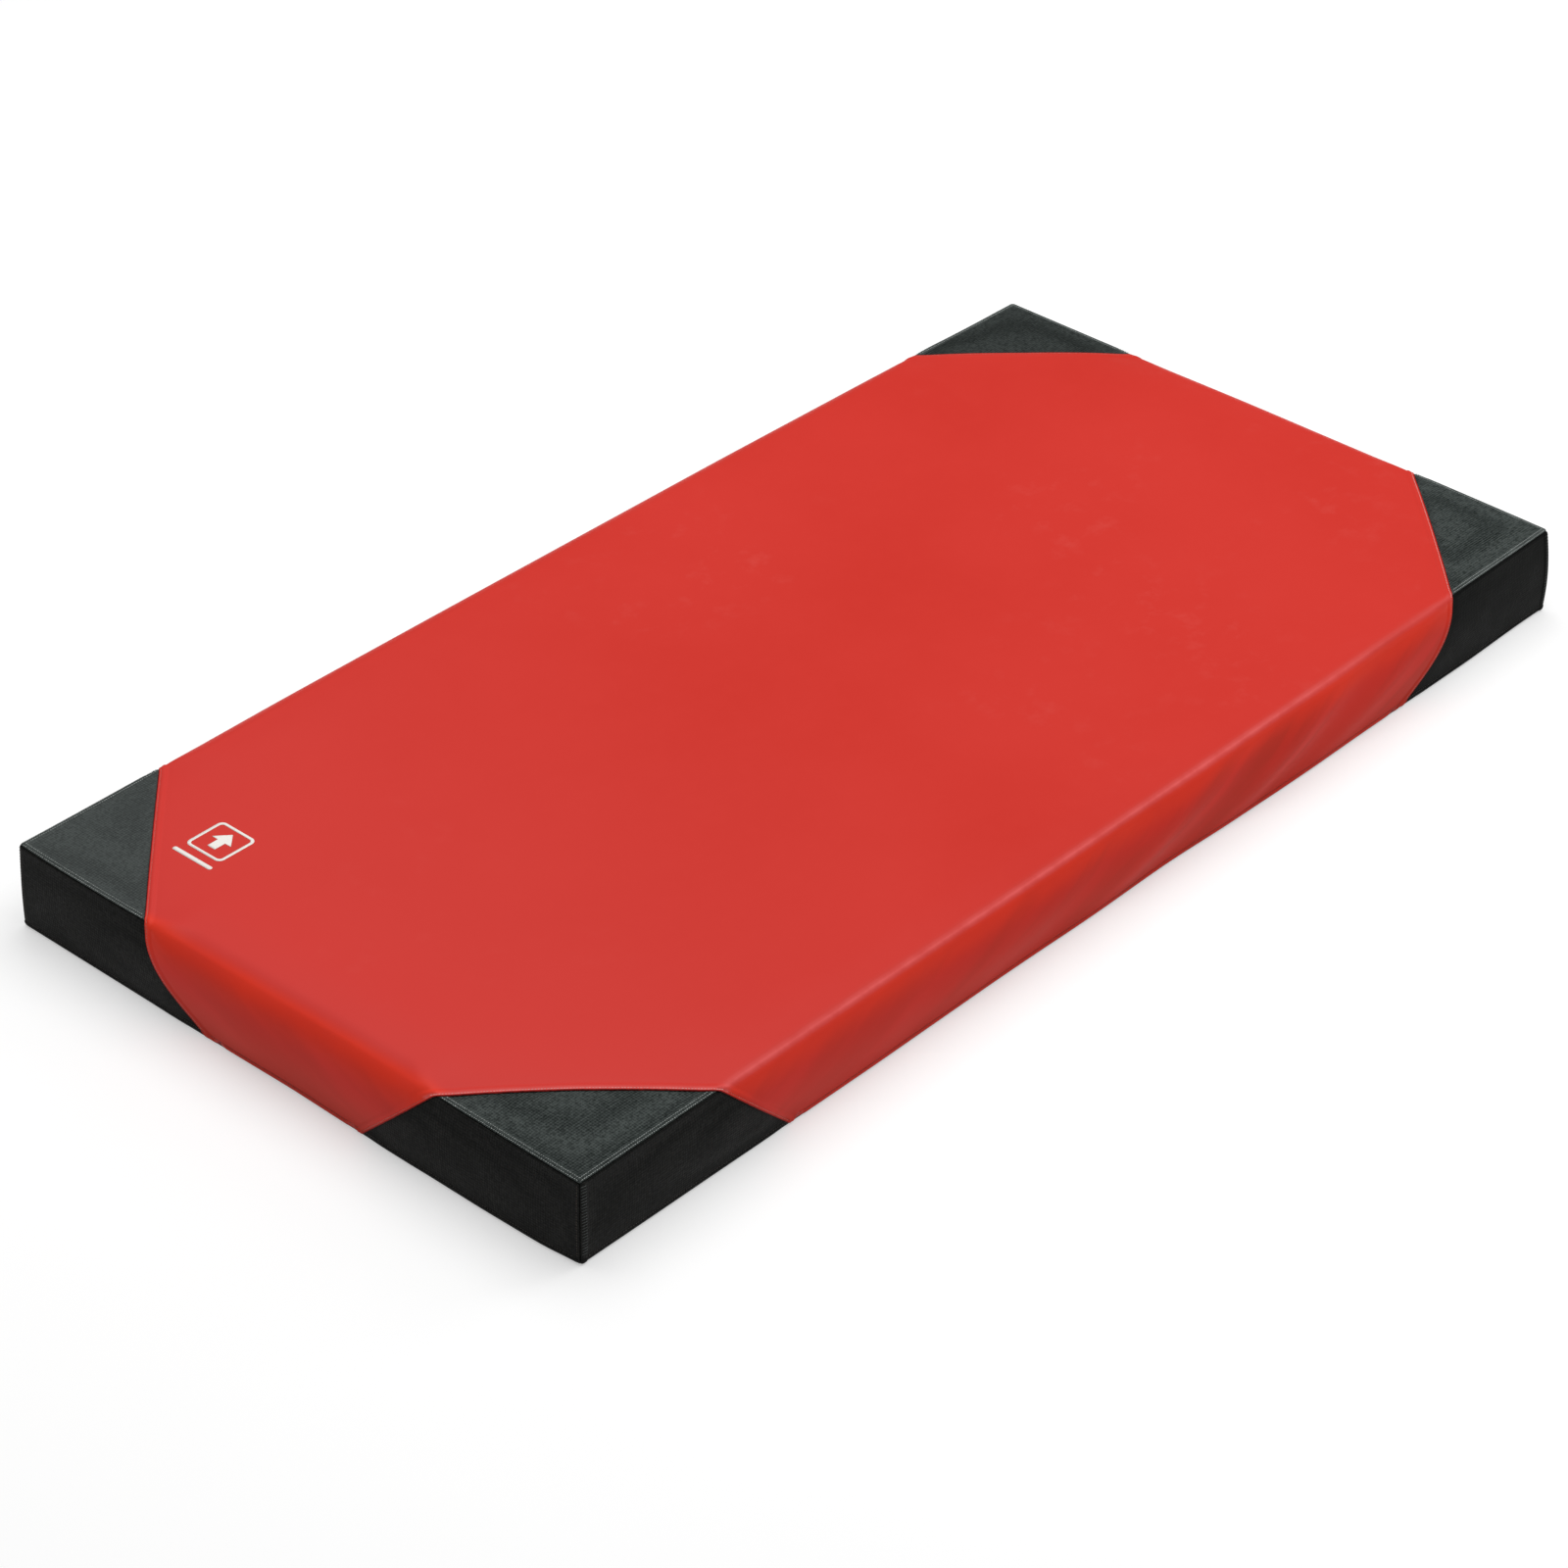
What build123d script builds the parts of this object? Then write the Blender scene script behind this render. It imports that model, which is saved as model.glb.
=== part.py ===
from build123d import *
import math
import os

# Rectangular gymnastics landing mat: one foam block in a sewn, zip-closed cover.
# Row frame, millimetres: X along the 2 m length, Y across the 1 m width, Z up.
# The origin is the middle of the underside. "front" is the -Y long side, "rear"
# the +Y long side, "left" the -X end and "right" the +X end.

os.makedirs("parts", exist_ok=True)

# ---------------------------------------------------------------- dimensions
LENGTH = 2000.0          # overall length of the sewn cover
WIDTH = 1000.0           # overall width of the sewn cover
HEIGHT = 130.0           # from the floor to the top ridge
SHEET = 1.2              # coated sheet, as sewn with its seam allowance pressed flat
BASE = 1.2               # non-slip sheet on the underside
CORNER_R = 12.0          # plan radius of the four upright edges
RIDGE_R = 9.0            # radius where the top turns down into the walls
LAP = 0.2                # wall hem stands this far above the base sheet
GAP = 0.4                # joint between two sewn panels
PLY = 0.3                # slack between the foam block and the cover

FOAM_H = 127.0           # thickness of the foam block
RELIEF_D = 5.0           # depth by which the foam gives way behind the zip
RELIEF_H = 20.0

LEG_TOP = 240.0          # leg of each black corner along the ridges
LEG_BASE_STRAIGHT = LEG_TOP + HEIGHT      # where the 45 degree cut reaches the floor
# the flared cut: leg of the corner at each height above the floor
FLARE = [(0.0, 350.0), (22.0, 315.0), (47.0, 286.0), (73.0, 262.0), (102.0, 244.5), (HEIGHT, LEG_TOP)]

THREAD_W = 1.0           # a row of stitches, as one band
THREAD_LO, THREAD_HI = 0.05, 0.6          # band's underside and top above the sheet
SEAM_ROW = 3.0           # main seam: row this far inside the red sheet's turned edge
SUNK_LO, SUNK_HI = -0.7, -0.05            # the main seam's row is pulled down into the red sheet
GROOVE = 0.1             # play round that row in its groove
HEM_ROW_Z = 9.0          # height of the row that holds the base sheet

ZIP_Z = 65.0             # centreline of the zip on the rear wall
ZIP_HALF = 640.0         # the chain runs from -ZIP_HALF to +ZIP_HALF
SLOT_HALF = 656.0
SLOT_H = 15.0
TAPE_T, TAPE_W, TAPE_GAP = 0.8, 19.0, 1.2
COIL_W, COIL_T = 4.2, 2.4
SLIDER_X = 641.0         # middle of the slider with the zip shut
SLIDER_L, SLIDER_W = 17.0, 12.0
PULL_L = 34.0            # from the pivot to the end of the pull
STOP_OPEN_X = -630.0     # middle of the slider with the zip open

TOP_IN = HEIGHT - SHEET
FACE = WIDTH / 2         # outer face of the rear wall


# ---------------------------------------------------------------- cover envelope
def rounded_block(length, width, z_low, z_high, corner_r, ridge_r):
    """A block with rounded upright edges and a rounded top rim."""
    with BuildPart() as block:
        with BuildSketch(Plane.XY.offset(z_low)):
            RectangleRounded(length, width, corner_r)
        extrude(amount=z_high - z_low)
        fillet(block.faces().sort_by(Axis.Z)[-1].edges(), radius=ridge_r)
    return block.part


def shell_between(grow_out, grow_in, z_low):
    """Open-bottomed skin: everything between two grown copies of the cover envelope."""
    outside = rounded_block(LENGTH + 2 * grow_out, WIDTH + 2 * grow_out, z_low, HEIGHT + grow_out, CORNER_R + grow_out, RIDGE_R + grow_out)
    inside = rounded_block(LENGTH + 2 * grow_in, WIDTH + 2 * grow_in, z_low, HEIGHT + grow_in, CORNER_R + grow_in, RIDGE_R + grow_in)
    with BuildPart() as skin:
        add(outside)
        add(inside, mode=Mode.SUBTRACT)
    return skin.part


cover_skin = shell_between(0.0, -SHEET, BASE + LAP)
thread_skin = shell_between(THREAD_HI, THREAD_LO, BASE + LAP)
sunk_skin = shell_between(SUNK_HI, SUNK_LO, BASE + LAP)
groove_skin = shell_between(2.0, SUNK_LO - 0.05, BASE + LAP)


# ---------------------------------------------------------------- corner cuts
def corner_plane(sx, sy):
    """Upright plane through one corner of the mat: local X points along the inward diagonal, local Y is up."""
    inward = Vector(-sx, -sy, 0).normalized()
    return Plane(origin=(sx * LENGTH / 2, sy * WIDTH / 2, 0), x_dir=inward, z_dir=inward.cross(Vector(0, 0, 1)))


def cut_edge(flared, shift):
    """Points (distance along the inward diagonal, height) of one seam, floor first. shift moves it inward."""
    if flared:
        return [(leg / math.sqrt(2) + shift, z) for z, leg in FLARE]
    return [(LEG_BASE_STRAIGHT / math.sqrt(2) + shift, 0.0), (LEG_TOP / math.sqrt(2) + shift, HEIGHT)]


def seam_line(points, flared):
    """The seam as one edge in the current line builder. A flared seam meets the ridge square."""
    if flared:
        Spline(*points, tangents=((-0.62, 0.78), (0.0, 1.0)))
    else:
        Line(points[0], points[1])


def corner_block(sx, sy, flared, shift):
    """Everything on the corner's side of the seam."""
    points = cut_edge(flared, shift)
    low, high = points[0], points[-1]
    with BuildPart() as block:
        with BuildSketch(corner_plane(sx, sy)):
            with BuildLine():
                seam_line(points, flared)
                Polyline(high, (high[0], HEIGHT + 20), (-80, HEIGHT + 20), (-80, -20), (low[0], -20), low)
            make_face()
        extrude(amount=420, both=True)
    return block.part


def seam_band(sx, sy, flared, shift, width):
    """A thin upright band that follows the seam and ends at shift, measured inward from it."""
    near, far = cut_edge(flared, shift), cut_edge(flared, shift - width)
    with BuildPart() as band:
        with BuildSketch(corner_plane(sx, sy)):
            with BuildLine():
                seam_line(near, flared)
                Polyline(near[-1], (near[-1][0], HEIGHT + 20), (far[-1][0], HEIGHT + 20), far[-1])
                seam_line(far, flared)
                Line(far[0], near[0])
            make_face()
        extrude(amount=420, both=True)
    return band.part


# the seam flares to the floor at two opposite corners and runs straight at 45 degrees at the other two
CORNERS = {
    "front_left": (-1, -1, False),
    "front_right": (1, -1, True),
    "rear_left": (-1, 1, True),
    "rear_right": (1, 1, False),
}


def corner_panel(sx, sy, flared, which):
    """One of a corner's three sewn black panels: 'top', 'long_side' (on the Y wall) or 'short_side' (on the X wall)."""
    apex = Vector(sx * LENGTH / 2, sy * WIDTH / 2, HEIGHT)
    # each direction points from the first panel towards the second across their mitred seam
    top_to_long = Vector(0, sy, -1).normalized()
    top_to_short = Vector(sx, 0, -1).normalized()
    short_to_long = Vector(-sx, sy, 0).normalized()
    keep_side = {
        "top": [(top_to_long, -1), (top_to_short, -1)],
        "long_side": [(top_to_long, 1), (short_to_long, 1)],
        "short_side": [(top_to_short, 1), (short_to_long, -1)],
    }[which]
    with BuildPart() as panel:
        add(cover_skin)
        add(corner_block(sx, sy, flared, -GAP / 2), mode=Mode.INTERSECT)
        for direction, side in keep_side:
            inwards = direction * side
            split(bisect_by=Plane(origin=apex + inwards * (GAP / 4), z_dir=inwards), keep=Keep.TOP)
    return panel


def row_on_seams(skin, play):
    """The part of a skin that lies in the main seams' rows, clear of the hem row."""
    with BuildPart() as bands:
        for sx, sy, flared in CORNERS.values():
            add(seam_band(sx, sy, flared, SEAM_ROW + THREAD_W + play, THREAD_W + 2 * play))
    with BuildPart() as row:
        add(skin)
        with BuildSketch(Plane.XY.offset(HEM_ROW_Z + 3 - play)):
            Rectangle(LENGTH + 40, WIDTH + 40)
        extrude(amount=HEIGHT + 20, mode=Mode.INTERSECT)
        add(bands.part, mode=Mode.INTERSECT)
    return row.part


for place, (sx, sy, flared) in CORNERS.items():
    for which in ("top", "long_side", "short_side"):
        panel = corner_panel(sx, sy, flared, which)
        panel.part.label = f"corner_{place}_{which}"
        export_step(panel.part, f"parts/corner_{place}_{which}.step")

# ---------------------------------------------------------------- red sheet
# One piece: the landing face and the four walls, folded over the ridges with no seam.
# The rear wall has the long slot that the zip closes.
with BuildPart() as red_cover:
    add(cover_skin)
    for sx, sy, flared in CORNERS.values():
        add(corner_block(sx, sy, flared, GAP / 2), mode=Mode.SUBTRACT)
    with BuildSketch(Plane(origin=(0, FACE + 10, ZIP_Z), x_dir=(1, 0, 0), z_dir=(0, -1, 0))):
        RectangleRounded(2 * SLOT_HALF, SLOT_H, 3)
    extrude(amount=20, mode=Mode.SUBTRACT)
    # the main seams' stitches lie in a shallow groove
    add(row_on_seams(groove_skin, GROOVE), mode=Mode.SUBTRACT)
red_cover.part.label = "red_cover_sheet"
export_step(red_cover.part, "parts/red_cover_sheet.step")

# ---------------------------------------------------------------- foam and base
with BuildPart() as foam_core:
    with BuildSketch(Plane.XY.offset(BASE + PLY)):
        RectangleRounded(LENGTH - 2 * (SHEET + PLY), WIDTH - 2 * (SHEET + PLY), CORNER_R - SHEET - PLY)
    extrude(amount=FOAM_H)
    fillet(foam_core.faces().sort_by(Axis.Z)[-1].edges(), radius=RIDGE_R - SHEET - PLY)
    chamfer(foam_core.faces().sort_by(Axis.Z)[0].edges(), length=3)
    # the block gives way behind the zip, where the slider's inner plate runs
    with BuildSketch(Plane(origin=(0, FACE, ZIP_Z), x_dir=(1, 0, 0), z_dir=(0, -1, 0))):
        RectangleRounded(2 * SLOT_HALF + 30, RELIEF_H + 24, 6)
    extrude(amount=SHEET + PLY + 1.6, mode=Mode.SUBTRACT)
    with BuildSketch(Plane(origin=(0, FACE, ZIP_Z), x_dir=(1, 0, 0), z_dir=(0, -1, 0))):
        RectangleRounded(2 * SLOT_HALF + 10, RELIEF_H, 6)
    extrude(amount=SHEET + PLY + RELIEF_D, mode=Mode.SUBTRACT)
foam_core.part.label = "foam_core"
export_step(foam_core.part, "parts/foam_core.step")

with BuildPart() as base_sheet:
    with BuildSketch():
        RectangleRounded(LENGTH - 0.6, WIDTH - 0.6, CORNER_R - 0.3)
    extrude(amount=BASE)
base_sheet.part.label = "base_sheet"
export_step(base_sheet.part, "parts/base_sheet.step")

# ---------------------------------------------------------------- zip
# Depths on the rear wall, measured outward from the tape's back face.
TAPE_Y0 = FACE - SHEET - 0.15 - TAPE_T       # inner face of the tapes
TAPE_Y1 = TAPE_Y0 + TAPE_T
COIL_Y0 = TAPE_Y1 + 0.05
COIL_Y1 = COIL_Y0 + COIL_T


def rear_plane(y):
    """A plane parallel to the rear wall at that Y, centred on the zip: local X is mat X, local Y is up, extruding outward."""
    return Plane(origin=(0, y, ZIP_Z), x_dir=(-1, 0, 0), z_dir=(0, 1, 0))


for name, side in (("upper", 1), ("lower", -1)):
    with BuildPart() as tape:
        with BuildSketch(rear_plane(TAPE_Y0)):
            with Locations((0, side * (TAPE_GAP / 2 + TAPE_W / 2))):
                Rectangle(2 * (SLOT_HALF + 12), TAPE_W)
        extrude(amount=TAPE_T)
    tape.part.label = f"zip_tape_{name}"
    export_step(tape.part, f"parts/zip_tape_{name}.step")

    with BuildPart() as coil:
        with BuildSketch(rear_plane(COIL_Y0)):
            with Locations((0, side * (0.05 + COIL_W / 2))):
                Rectangle(2 * ZIP_HALF, COIL_W)
        extrude(amount=COIL_T)
        outer_rim = coil.faces().sort_by(Axis.Y)[-1].edges().filter_by(Axis.X)
        fillet(outer_rim, radius=0.9)
    coil.part.label = f"zip_coil_{name}"
    export_step(coil.part, f"parts/zip_coil_{name}.step")

# two crimped stops at the closed end, one on each tape
with BuildPart() as top_stops:
    with BuildSketch(rear_plane(COIL_Y0)):
        with Locations((-(SLIDER_X + SLIDER_L / 2 + 2.0), 2.5), (-(SLIDER_X + SLIDER_L / 2 + 2.0), -2.5)):
            RectangleRounded(2.2, 3.4, 0.6)
    extrude(amount=2.0)
top_stops.part.label = "zip_top_stops"
export_step(top_stops.part, "parts/zip_top_stops.step")

# one staple across both coils at the far end
with BuildPart() as bottom_stop:
    with BuildSketch(rear_plane(COIL_Y0)):
        with Locations((ZIP_HALF + 2.4, 0)):
            RectangleRounded(3.6, 8.6, 0.8)
    extrude(amount=2.2)
bottom_stop.part.label = "zip_bottom_stop"
export_step(bottom_stop.part, "parts/zip_bottom_stop.step")

# reinforcing patches sewn over the two ends of the slot
for name, x_mid in (("left", -664.0), ("right", 664.0)):
    with BuildPart() as patch:
        with BuildSketch(rear_plane(FACE + 0.1)):
            with Locations((-x_mid, 0)):
                RectangleRounded(20, 26, 3)
        extrude(amount=1.0)
    patch.part.label = f"zip_end_patch_{name}"
    export_step(patch.part, f"parts/zip_end_patch_{name}.step")

# slider: two plates joined by the wedge that parts the coils, with a bridge for the pull
TOP_Y = COIL_Y1 + 0.3        # underside of the outer plate
TOP_T, BOT_T = 1.5, 1.3
BOT_Y = TAPE_Y0 - 0.55       # outer face of the inner plate
BRIDGE_W = 2.8
PIN_Y = TOP_Y + TOP_T + 1.3  # pivot of the pull
PIN_R = 0.9


# plan of both slider plates; X runs towards -X of the mat, centred on the slider
half = SLIDER_L / 2
SLIDER_PLAN = [
    (-half, -SLIDER_W / 2), (half - 3, -SLIDER_W / 2), (half, -SLIDER_W / 2 + 1.6),
    (half, SLIDER_W / 2 - 1.6), (half - 3, SLIDER_W / 2), (-half, SLIDER_W / 2),
]


with BuildPart() as slider:
    with BuildSketch(Plane(origin=(SLIDER_X, TOP_Y, ZIP_Z), x_dir=(-1, 0, 0), z_dir=(0, 1, 0))):
        Polygon(*SLIDER_PLAN, align=None)
    extrude(amount=TOP_T)
    fillet(slider.faces().sort_by(Axis.Y)[-1].edges(), radius=0.5)
    with BuildSketch(Plane(origin=(SLIDER_X, BOT_Y - BOT_T, ZIP_Z), x_dir=(-1, 0, 0), z_dir=(0, 1, 0))):
        Polygon(*SLIDER_PLAN, align=None)
    extrude(amount=BOT_T)
    # side flanges: the outer pair turns in round the coils, the inner pair is a low lip
    with BuildSketch(Plane(origin=(SLIDER_X, TOP_Y, ZIP_Z), x_dir=(-1, 0, 0), z_dir=(0, 1, 0))):
        with Locations((-1.5, SLIDER_W / 2 - 0.7), (-1.5, -SLIDER_W / 2 + 0.7)):
            Rectangle(SLIDER_L - 3.0, 1.4)
    extrude(amount=-(TOP_Y - TAPE_Y1 - 0.35))
    with BuildSketch(Plane(origin=(SLIDER_X, BOT_Y, ZIP_Z), x_dir=(-1, 0, 0), z_dir=(0, 1, 0))):
        with Locations((-1.5, SLIDER_W / 2 - 0.7), (-1.5, -SLIDER_W / 2 + 0.7)):
            Rectangle(SLIDER_L - 3.0, 1.4)
    extrude(amount=0.25)
    # wedge, ahead of the last closed tooth, in the plane of the coils
    with BuildSketch(Plane(origin=(SLIDER_X, TAPE_Y1 + 0.1, ZIP_Z), x_dir=(-1, 0, 0), z_dir=(0, 1, 0))):
        with BuildLine():
            Polyline((-0.6, 0), (-4.0, 1.9), (-7.6, 1.3), (-7.6, -1.3), (-4.0, -1.9), close=True)
        make_face()
    extrude(amount=TOP_Y - TAPE_Y1)
    # thin web between the two tapes, down to the inner plate
    with BuildSketch(Plane(origin=(SLIDER_X, BOT_Y - 0.2, ZIP_Z), x_dir=(-1, 0, 0), z_dir=(0, 1, 0))):
        with Locations((-4.6, 0)):
            Rectangle(5.6, 0.9)
    extrude(amount=TAPE_Y1 + 0.3 - BOT_Y)
    # bridge along the line of travel
    with BuildSketch(Plane(origin=(SLIDER_X, TOP_Y + TOP_T - 0.2, ZIP_Z - BRIDGE_W / 2), x_dir=(1, 0, 0), z_dir=(0, 0, 1))):
        with BuildLine():
            Polyline((-5.2, 0), (-5.2, 2.2), (-3.2, 4.3), (3.2, 4.3), (5.2, 2.2), (5.2, 0), (3.6, 0), (3.6, 1.9), (2.7, 2.8), (-2.7, 2.8), (-3.6, 1.9), (-3.6, 0), close=True)
        make_face()
    extrude(amount=BRIDGE_W)
slider.part.label = "zip_slider"
export_step(slider.part, "parts/zip_slider.step")

# pull tab: a cross pin under the bridge, two arms beside it and a waisted paddle
with BuildPart() as pull_tab:
    with BuildSketch(Plane(origin=(SLIDER_X, PIN_Y, ZIP_Z - 3.4), x_dir=(1, 0, 0), z_dir=(0, 0, 1))):
        Circle(PIN_R)
    extrude(amount=6.8)
    with BuildSketch(Plane(origin=(SLIDER_X, PIN_Y - 0.8, ZIP_Z), x_dir=(-1, 0, 0), z_dir=(0, 1, 0))):
        with BuildLine():
            Polyline(
                (0, -3.4), (9.0, -3.4), (13.0, -2.9), (19.0, -4.2), (PULL_L - 3, -5.0), (PULL_L, -3.2),
                (PULL_L, 3.2), (PULL_L - 3, 5.0), (19.0, 4.2), (13.0, 2.9), (9.0, 3.4), (0, 3.4), close=True,
            )
        make_face()
        with Locations((3.2, 0)):
            Rectangle(6.8, 3.6, mode=Mode.SUBTRACT)
    extrude(amount=1.6)
pull_tab.part.label = "zip_pull_tab"
export_step(pull_tab.part, "parts/zip_pull_tab.step")

# ---------------------------------------------------------------- thread rows
# Each row is one continuous band that stands for its stitches.
with BuildPart() as thread_main:
    add(row_on_seams(sunk_skin, 0.0))
thread_main.part.label = "thread_main_seams"
export_step(thread_main.part, "parts/thread_main_seams.step")

with BuildPart() as thread_base:
    add(thread_skin)
    with BuildSketch(Plane.XY.offset(HEM_ROW_Z)):
        Rectangle(LENGTH + 40, WIDTH + 40)
    extrude(amount=THREAD_W, mode=Mode.INTERSECT)
thread_base.part.label = "thread_base_seam"
export_step(thread_base.part, "parts/thread_base_seam.step")

# black corners: a double row beside each ridge on the top panel and a row each side of the upright seam
ROWS = (RIDGE_R + 1.0, RIDGE_R + 5.0)
with BuildPart() as thread_corners:
    for sx, sy, flared in CORNERS.values():
        x0, y0 = sx * LENGTH / 2, sy * WIDTH / 2
        with BuildSketch(Plane.XY.offset(HEIGHT + THREAD_LO)):
            for row in ROWS:
                start, stop = ROWS[1] + 3, LEG_TOP - row - 14
                with Locations((x0 - sx * (start + stop) / 2, y0 - sy * row), ):
                    Rectangle(stop - start, THREAD_W)
                with Locations((x0 - sx * row, y0 - sy * (start + stop) / 2), ):
                    Rectangle(THREAD_W, stop - start)
        extrude(amount=THREAD_HI - THREAD_LO)
        with BuildSketch(Plane.XY.offset(HEM_ROW_Z + 4)):
            out = (THREAD_LO + THREAD_HI) / 2
            with Locations((x0 - sx * (CORNER_R + 2), y0 + sy * out)):
                Rectangle(THREAD_W, THREAD_HI - THREAD_LO)
            with Locations((x0 + sx * out, y0 - sy * (CORNER_R + 2))):
                Rectangle(THREAD_HI - THREAD_LO, THREAD_W)
        extrude(amount=HEIGHT - RIDGE_R - HEM_ROW_Z - 8)
thread_corners.part.label = "thread_corner_seams"
export_step(thread_corners.part, "parts/thread_corner_seams.step")

with BuildPart() as thread_zip:
    with BuildSketch(rear_plane(FACE + THREAD_LO)):
        with Locations((0, SLOT_H / 2 + 3.5), (0, -SLOT_H / 2 - 3.5)):
            Rectangle(2 * 650, THREAD_W)
    extrude(amount=THREAD_HI - THREAD_LO)
thread_zip.part.label = "thread_zip_seams"
export_step(thread_zip.part, "parts/thread_zip_seams.step")

print("slider plates y", round(BOT_Y - BOT_T, 2), "to", round(TOP_Y + TOP_T, 2), "pivot y", round(PIN_Y, 2), "tape", round(TAPE_Y0, 2), round(TAPE_Y1, 2), "coil", round(COIL_Y0, 2), round(COIL_Y1, 2))
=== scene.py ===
import math

import bpy
import numpy as np
from mathutils import Matrix, Vector
from mathutils.geometry import delaunay_2d_cdt


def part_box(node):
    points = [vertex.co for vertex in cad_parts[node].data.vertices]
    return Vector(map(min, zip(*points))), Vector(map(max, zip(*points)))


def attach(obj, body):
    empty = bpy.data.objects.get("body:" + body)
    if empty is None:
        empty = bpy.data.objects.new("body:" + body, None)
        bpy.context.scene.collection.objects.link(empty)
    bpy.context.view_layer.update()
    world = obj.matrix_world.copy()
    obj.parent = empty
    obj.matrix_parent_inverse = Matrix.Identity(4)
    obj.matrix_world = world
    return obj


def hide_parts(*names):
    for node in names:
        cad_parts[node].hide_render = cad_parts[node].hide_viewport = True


# A gymnastics landing mat: foam block, one-piece red sheet, black sewn corners, base sheet, zip.
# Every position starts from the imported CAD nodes. Metres, +X along the length, +Z up.

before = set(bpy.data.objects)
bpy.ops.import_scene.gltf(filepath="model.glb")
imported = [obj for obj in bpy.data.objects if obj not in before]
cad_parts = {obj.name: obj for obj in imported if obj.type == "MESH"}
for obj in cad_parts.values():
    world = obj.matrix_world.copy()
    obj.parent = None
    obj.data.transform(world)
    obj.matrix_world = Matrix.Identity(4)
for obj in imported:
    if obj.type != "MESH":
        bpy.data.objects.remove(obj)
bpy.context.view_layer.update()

RNG = np.random.default_rng(20261118)

_lo, _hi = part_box("red_cover_sheet")
A, B, H = _hi.x, _hi.y, _hi.z          # half length, half width, height of the nominal cover
LEG = 0.240                             # leg of a black corner along the ridges
R_BLACK, R_RED, R_BASE = 0.0065, 0.021, 0.0055
CORNERS = {
    "front_left": (-1, -1, False),
    "front_right": (1, -1, True),
    "rear_left": (-1, 1, True),
    "rear_right": (1, 1, False),
}
_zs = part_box("zip_slider")
_c1, _c2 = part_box("zip_coil_upper"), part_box("zip_coil_lower")
ZIP_Z = (_c1[0].z + _c2[1].z) / 2
ZIP_X0, ZIP_X1 = _c1[0].x, _c1[1].x
SLOT_X, SLOT_H = 0.656, 0.015


def smooth(e0, e1, x):
    t = np.clip((np.asarray(x, float) - e0) / (e1 - e0), 0, 1)
    return t * t * (3 - 2 * t)


def gauss(x, c, w):
    return np.exp(-(((x - c) / w) ** 2))


# ------------------------------------------------------------------ nominal envelope
def ridge_radius(p):
    m = np.maximum(A - np.abs(p[:, 0]), B - np.abs(p[:, 1]))
    red = R_RED + 0.011 * (1 - smooth(0.10, 0.30, p[:, 0] + A)) * smooth(0.02, 0.20, p[:, 1] + B)
    red = red - 0.0080 * (1 - smooth(0.06, 0.20, p[:, 1] + B)) * smooth(0.02, 0.20, p[:, 0] + A)
    return R_BLACK + (red - R_BLACK) * smooth(LEG - 0.004, LEG + 0.075, m)


def edge_radius(p):
    return R_BASE + (ridge_radius(p) - R_BASE) * smooth(0.25 * H, 0.7 * H, p[:, 2])


def envelope(p):
    """Points on the sharp box, moved onto the rounded cover; and the outward normals there."""
    r = edge_radius(p)[:, None]
    lo = np.array([-A, -B, 0.0]) + r
    hi = np.array([A, B, H]) - r
    q = np.clip(p, lo, hi)
    v = p - q
    n = v / np.maximum(np.linalg.norm(v, axis=1, keepdims=True), 1e-12)
    return q + r * n, n


# ------------------------------------------------------------------ the cover under the push of its foam
CELL_X, CELL_Y, CELL_Z = 160, 80, 10


def box_grid():
    """A closed quad mesh of the sharp box, and the vertex numbers of each face as a grid."""
    xs, ys, zs = np.linspace(-A, A, CELL_X + 1), np.linspace(-B, B, CELL_Y + 1), np.linspace(0, H, CELL_Z + 1)
    index, points = {}, []

    def vid(i, j, k):
        key = (i, j, k)
        if key not in index:
            index[key] = len(points)
            points.append((xs[i], ys[j], zs[k]))
        return index[key]

    grids = {
        "top": np.array([[vid(i, j, CELL_Z) for j in range(CELL_Y + 1)] for i in range(CELL_X + 1)]),
        "base": np.array([[vid(i, j, 0) for j in range(CELL_Y + 1)] for i in range(CELL_X + 1)]),
        "front": np.array([[vid(i, 0, k) for k in range(CELL_Z + 1)] for i in range(CELL_X + 1)]),
        "rear": np.array([[vid(i, CELL_Y, k) for k in range(CELL_Z + 1)] for i in range(CELL_X + 1)]),
        "left": np.array([[vid(0, j, k) for k in range(CELL_Z + 1)] for j in range(CELL_Y + 1)]),
        "right": np.array([[vid(CELL_X, j, k) for k in range(CELL_Z + 1)] for j in range(CELL_Y + 1)]),
    }
    flip = {"top": False, "base": True, "front": False, "rear": True, "left": True, "right": False}
    faces = []
    for name, g in grids.items():
        a, b, c, d = g[:-1, :-1].ravel(), g[1:, :-1].ravel(), g[1:, 1:].ravel(), g[:-1, 1:].ravel()
        quad = np.stack([a, d, c, b] if flip[name] else [a, b, c, d], 1)
        faces.extend(map(tuple, quad))
    return np.array(points), faces, grids


SHARP, QUADS, GRIDS = box_grid()


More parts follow.
